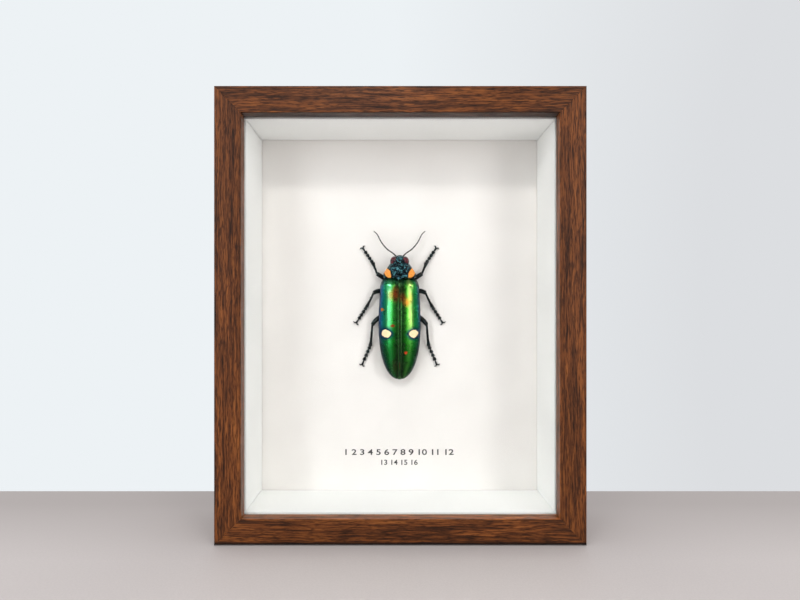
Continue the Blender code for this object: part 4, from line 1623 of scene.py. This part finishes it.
def spur_tubes(knee, ankle):
    """Short spines on the shin, and two at its end."""
    knee, ankle = Vector(knee), Vector(ankle)
    ahead = (ankle - knee).normalized()
    aside = Vector((ahead.z, 0, -ahead.x)).normalized()
    tubes = []
    # A row for each spine: how far down the shin, on which side, and its length in mm.
    for share, lean, size in (
        (0.35, 1, 1.1),
        (0.5, -1, 1.1),
        (0.65, 1, 1.25),
        (0.8, -1, 1.25),
        (0.96, 1, 1.7),
        (0.96, -1, 1.7),
    ):
        root = knee.lerp(ankle, share) + aside * lean * 0.3
        tubes.append(add_tube([root, root + (ahead * 0.45 + aside * lean * 0.55) * size], (0.22, 0.06)))
    return tubes


LEG_SKIN, ANTENNA_SKIN = 0.1, 0.07  # how finely the joined skins are meshed, in mm
FOOT_JOINTS = 5
# Thigh from root to knee, shin from knee to ankle, each as (across, along, height, radius) in mm, and the
# (across, along, height) of the foot's end.
LEGS = {
    "front": (
        ((4.6, 52.3, 2.4, 1.0), (7.2, 54.0, 2.5, 1.3), (10.2, 55.7, 3.3, 1.25), (12.2, 57.0, 3.9, 1.15)),
        ((12.2, 57.0, 3.9, 0.6), (12.9, 58.9, 3.8, 0.6), (13.8, 61.0, 3.1, 0.7), (14.4, 62.7, 2.3, 1.15)),
        (20.2, 71.4, 0.85),
    ),
    "middle": (
        ((5.2, 46.6, 2.4, 1.0), (8.6, 47.6, 2.3, 1.3), (11.8, 47.5, 3.5, 1.25), (14.1, 46.6, 4.3, 1.1)),
        ((14.1, 46.6, 4.3, 0.6), (15.0, 44.4, 4.0, 0.6), (16.8, 41.0, 2.8, 0.7), (17.8, 39.1, 2.0, 1.1)),
        (23.7, 30.2, 0.85),
    ),
    "hind": (
        ((5.4, 36.2, 2.4, 1.0), (9.2, 34.3, 2.3, 1.35), (12.7, 31.8, 3.4, 1.3), (14.7, 29.3, 4.3, 1.1)),
        ((14.7, 29.3, 4.3, 0.6), (15.0, 26.0, 3.9, 0.62), (15.5, 20.6, 2.9, 0.72), (15.9, 18.0, 2.0, 1.15)),
        (20.5, 7.2, 0.85),
    ),
}


def mirrored(station, side):
    """The station on this side of the beetle, -1 for its left."""
    return (side * station[0], *station[1:])


for pair, (thigh, shin, foot_end) in LEGS.items():
    for side, word in ((-1, "left"), (1, "right")):
        shin_at = [mirrored(station, side) for station in shin]
        knee = (shin_at[0][0], shin_at[0][2], shin_at[0][1])
        ankle = (shin_at[-1][0], shin_at[-1][2], shin_at[-1][1])
        foot = (side * foot_end[0], foot_end[2], foot_end[1])
        tubes = [
            add_tube(*smooth_path([mirrored(station, side) for station in thigh], 8)),
            add_tube(*smooth_path(shin_at, 8)),
            *spur_tubes(knee, ankle),
            *foot_tubes(ankle, foot, FOOT_JOINTS),
        ]
        leg = weld_skin(f"{pair}_leg_{word}", tubes, LEG_SKIN, leg_cuticle)
        finish_piece(leg, "chitin", f"leg_{pair}_{word}")

# Cuticle of the antennae: dull dark grey, clothed in down too fine to see.
antenna_cuticle, tree = new_tree("dull_grey_antenna_cuticle")
place = add_node(tree, "TexCoord")
down = add_node(
    tree, "TexNoise", {"Vector": (place, "Object"), "Scale": 1 / (0.25 * MM), "Detail": 2.0}
)
antenna_tint = add_node(
    tree,
    "ValToRGB",
    {"Fac": (down, "Fac")},
    stops=((0.35, colour("#181816")), (0.65, colour("#32302c"))),
)
antenna_bump = add_node(
    tree, "Bump", {"Height": (down, "Fac"), "Strength": 0.3, "Distance": 0.03 * MM}
)
antenna_shader = add_node(
    tree,
    "BsdfPrincipled",
    {"Base Color": (antenna_tint, "Color"), "Roughness": 0.5, "Normal": (antenna_bump, "Normal")},
)
add_node(tree, "OutputMaterial", {"Surface": (antenna_shader, "BSDF")})

# (across, along, height, radius) in mm, from the socket to the tip.
ANTENNA = (
    (1.5, 65.6, 7.0, 0.5),
    (2.2, 66.4, 6.9, 0.46),
    (3.6, 67.8, 6.6, 0.38),
    (6.5, 69.9, 5.9, 0.38),
    (9.0, 72.7, 5.0, 0.36),
    (10.6, 75.3, 4.2, 0.34),
    (12.1, 78.3, 3.3, 0.3),
    (14.0, 80.2, 2.6, 0.26),
)
ANTENNA_JOINTS = 11

for side, word in ((-1, "left"), (1, "right")):
    points, radii = smooth_path([mirrored(station, side) for station in ANTENNA], 22)
    # Each joint swells from its root and draws in again at its end.
    beaded = []
    for i, radius in enumerate(radii):
        phase = (i / (len(radii) - 1) * ANTENNA_JOINTS) % 1
        beaded.append(radius * (0.72 + 0.42 * phase**0.7 * (1 if phase < 0.9 else 0.4)))
    tube = add_tube(points, beaded)
    antenna = weld_skin(f"antenna_{word}", [tube], ANTENNA_SKIN, antenna_cuticle)
    finish_piece(antenna, "chitin", f"antenna_{word}")

# ----------------------------------------------------------- table and lights
# The frame stands on a pale matt table top, in a room with pale walls. A soft light from high in front and
# a little to the left throws the lip's shadow down the card, and two tall side boxes give the sheen.

TABLE_THICKNESS, TABLE_ROUND, TABLE_GAP = 18 * MM, 1.5 * MM, 0.1 * MM
TABLE_SIDE, TABLE_FRONT_Y, TABLE_REAR_Y = 1.6, -1.9, 53 * MM
KEY_TURN, KEY_RISE, KEY_AWAY = math.radians(-4), math.radians(35.5), 1.25
KEY_SIZE, KEY_WATTS = (0.24, 0.14), 2.42
STRIP_SIZE, STRIP_AWAY, STRIP_RISE = (0.36, 0.9), 1.2, 0.25  # the rise is a share of the distance away
CAMERA_AT = (-3 * MM, -276.7 * MM, 111 * MM)
LENS_MM, SENSOR_MM = 24, 36

table = add_block(
    "pale_table_top",
    (-TABLE_SIDE, TABLE_FRONT_Y, -TABLE_THICKNESS),
    (TABLE_SIDE, TABLE_REAR_Y, -TABLE_GAP),
)
soften(table, TABLE_ROUND, 3, lambda a, b: near(a.y, TABLE_REAR_Y) and near(b.y, TABLE_REAR_Y))
end_edit(table, 35)

# Pale matt laminate, with a grain so fine that it only takes off the shine. It is painted darker towards the
# wall, a painted shade.
laminate, tree = new_tree("pale_matt_laminate")
place = add_node(tree, "TexCoord")
grit = add_node(
    tree, "TexNoise", {"Vector": (place, "Object"), "Scale": 1 / (0.8 * MM), "Detail": 2.0}
)
laminate_tint = add_node(
    tree,
    "ValToRGB",
    {"Fac": (grit, "Fac")},
    stops=((0.3, colour("#c6bdb9")), (0.7, colour("#cbc2be"))),
)
table_axes = add_node(tree, "SeparateXYZ", {"Vector": (place, "Object")})
rearward = add_node(
    tree,
    "MapRange",
    {"Value": (table_axes, "Y"), "From Min": -40 * MM, "From Max": 30 * MM},
)
laminate_painted_falloff = add_node(
    tree,
    "Mix",
    {0: (rearward, "Result"), 6: (laminate_tint, "Color"), 7: colour("#b3aaa6")},
    data_type="RGBA",
)
laminate_shader = add_node(
    tree, "BsdfPrincipled", {"Base Color": (laminate_painted_falloff, 2), "Roughness": 0.6}
)
add_node(tree, "OutputMaterial", {"Surface": (laminate_shader, "BSDF")})
table.data.materials.append(laminate)


def add_softbox(name, centre, target, width_and_height, power, tint):
    """An area light of this size and power, in watts, facing the target."""
    start_alone()
    bpy.ops.object.light_add(type="AREA", location=centre)
    lamp = bpy.context.object
    lamp.name = name
    lamp.rotation_euler = (Vector(target) - Vector(centre)).to_track_quat("-Z", "Y").to_euler()
    lamp.data.shape = "RECTANGLE"
    lamp.data.size, lamp.data.size_y = width_and_height
    lamp.data.energy = power
    lamp.data.color = colour(tint)[:3]


middle = Vector((0, 0, 109 * MM))  # all three lights face the middle of the frame
key_at = middle + KEY_AWAY * Vector(
    (
        math.sin(KEY_TURN) * math.cos(KEY_RISE),
        -math.cos(KEY_TURN) * math.cos(KEY_RISE),
        math.sin(KEY_RISE),
    )
)
add_softbox("front_softbox", key_at, middle, KEY_SIZE, KEY_WATTS, "#fffcf9")
for word, turn, power, tint in (("left", -34, 3.15, "#f8fbff"), ("right", 34, 3.4, "#fcfcfd")):
    turn = math.radians(turn)
    strip_at = middle + STRIP_AWAY * Vector((math.sin(turn), -math.cos(turn), STRIP_RISE))
    add_softbox(f"side_softbox_{word}", strip_at, middle, STRIP_SIZE, power, tint)

# The room: a pale wall that falls off to the right, an even white fill, and little for gloss to mirror.
world = bpy.data.worlds.new("pale_room")
bpy.context.scene.world = world
world.use_nodes = True
tree = world.node_tree
tree.nodes.clear()
ray = add_node(tree, "LightPath")
way = add_node(tree, "TexCoord")
way_axes = add_node(tree, "SeparateXYZ", {"Vector": (way, "Generated")})
wall_tone = add_node(
    tree,
    "ValToRGB",
    {"Fac": (way_axes, "X")},
    stops=((0.0, colour("#edf2f5")), (0.5, colour("#dcdee1"))),
)
wall = add_node(tree, "Background", {"Color": (wall_tone, "Color"), "Strength": 1.0})
fill = add_node(tree, "Background", {"Color": colour("#f8fbff"), "Strength": 1.04})
dim = add_node(tree, "Background", {"Color": colour("#ffffff"), "Strength": 0.13})
around = add_node(
    tree, "MixShader", {0: (ray, "Is Glossy Ray"), 1: (fill, "Background"), 2: (dim, "Background")}
)
room = add_node(
    tree, "MixShader", {0: (ray, "Is Camera Ray"), 1: (around, "Shader"), 2: (wall, "Background")}
)
add_node(tree, "OutputWorld", {"Surface": (room, "Shader")})

camera_data = bpy.data.cameras.new("camera")
camera = bpy.data.objects.new("camera", camera_data)
bpy.context.scene.collection.objects.link(camera)
camera.location = CAMERA_AT
camera.rotation_euler = (math.radians(90), 0, 0)
camera_data.lens = LENS_MM
camera_data.sensor_width = SENSOR_MM
camera_data.shift_x = 0.0075
camera_data.shift_y = 0.0134
camera_data.clip_start = 0.01
camera_data.clip_end = 20
bpy.context.scene.camera = camera
bpy.context.scene.view_settings.view_transform = "Standard"
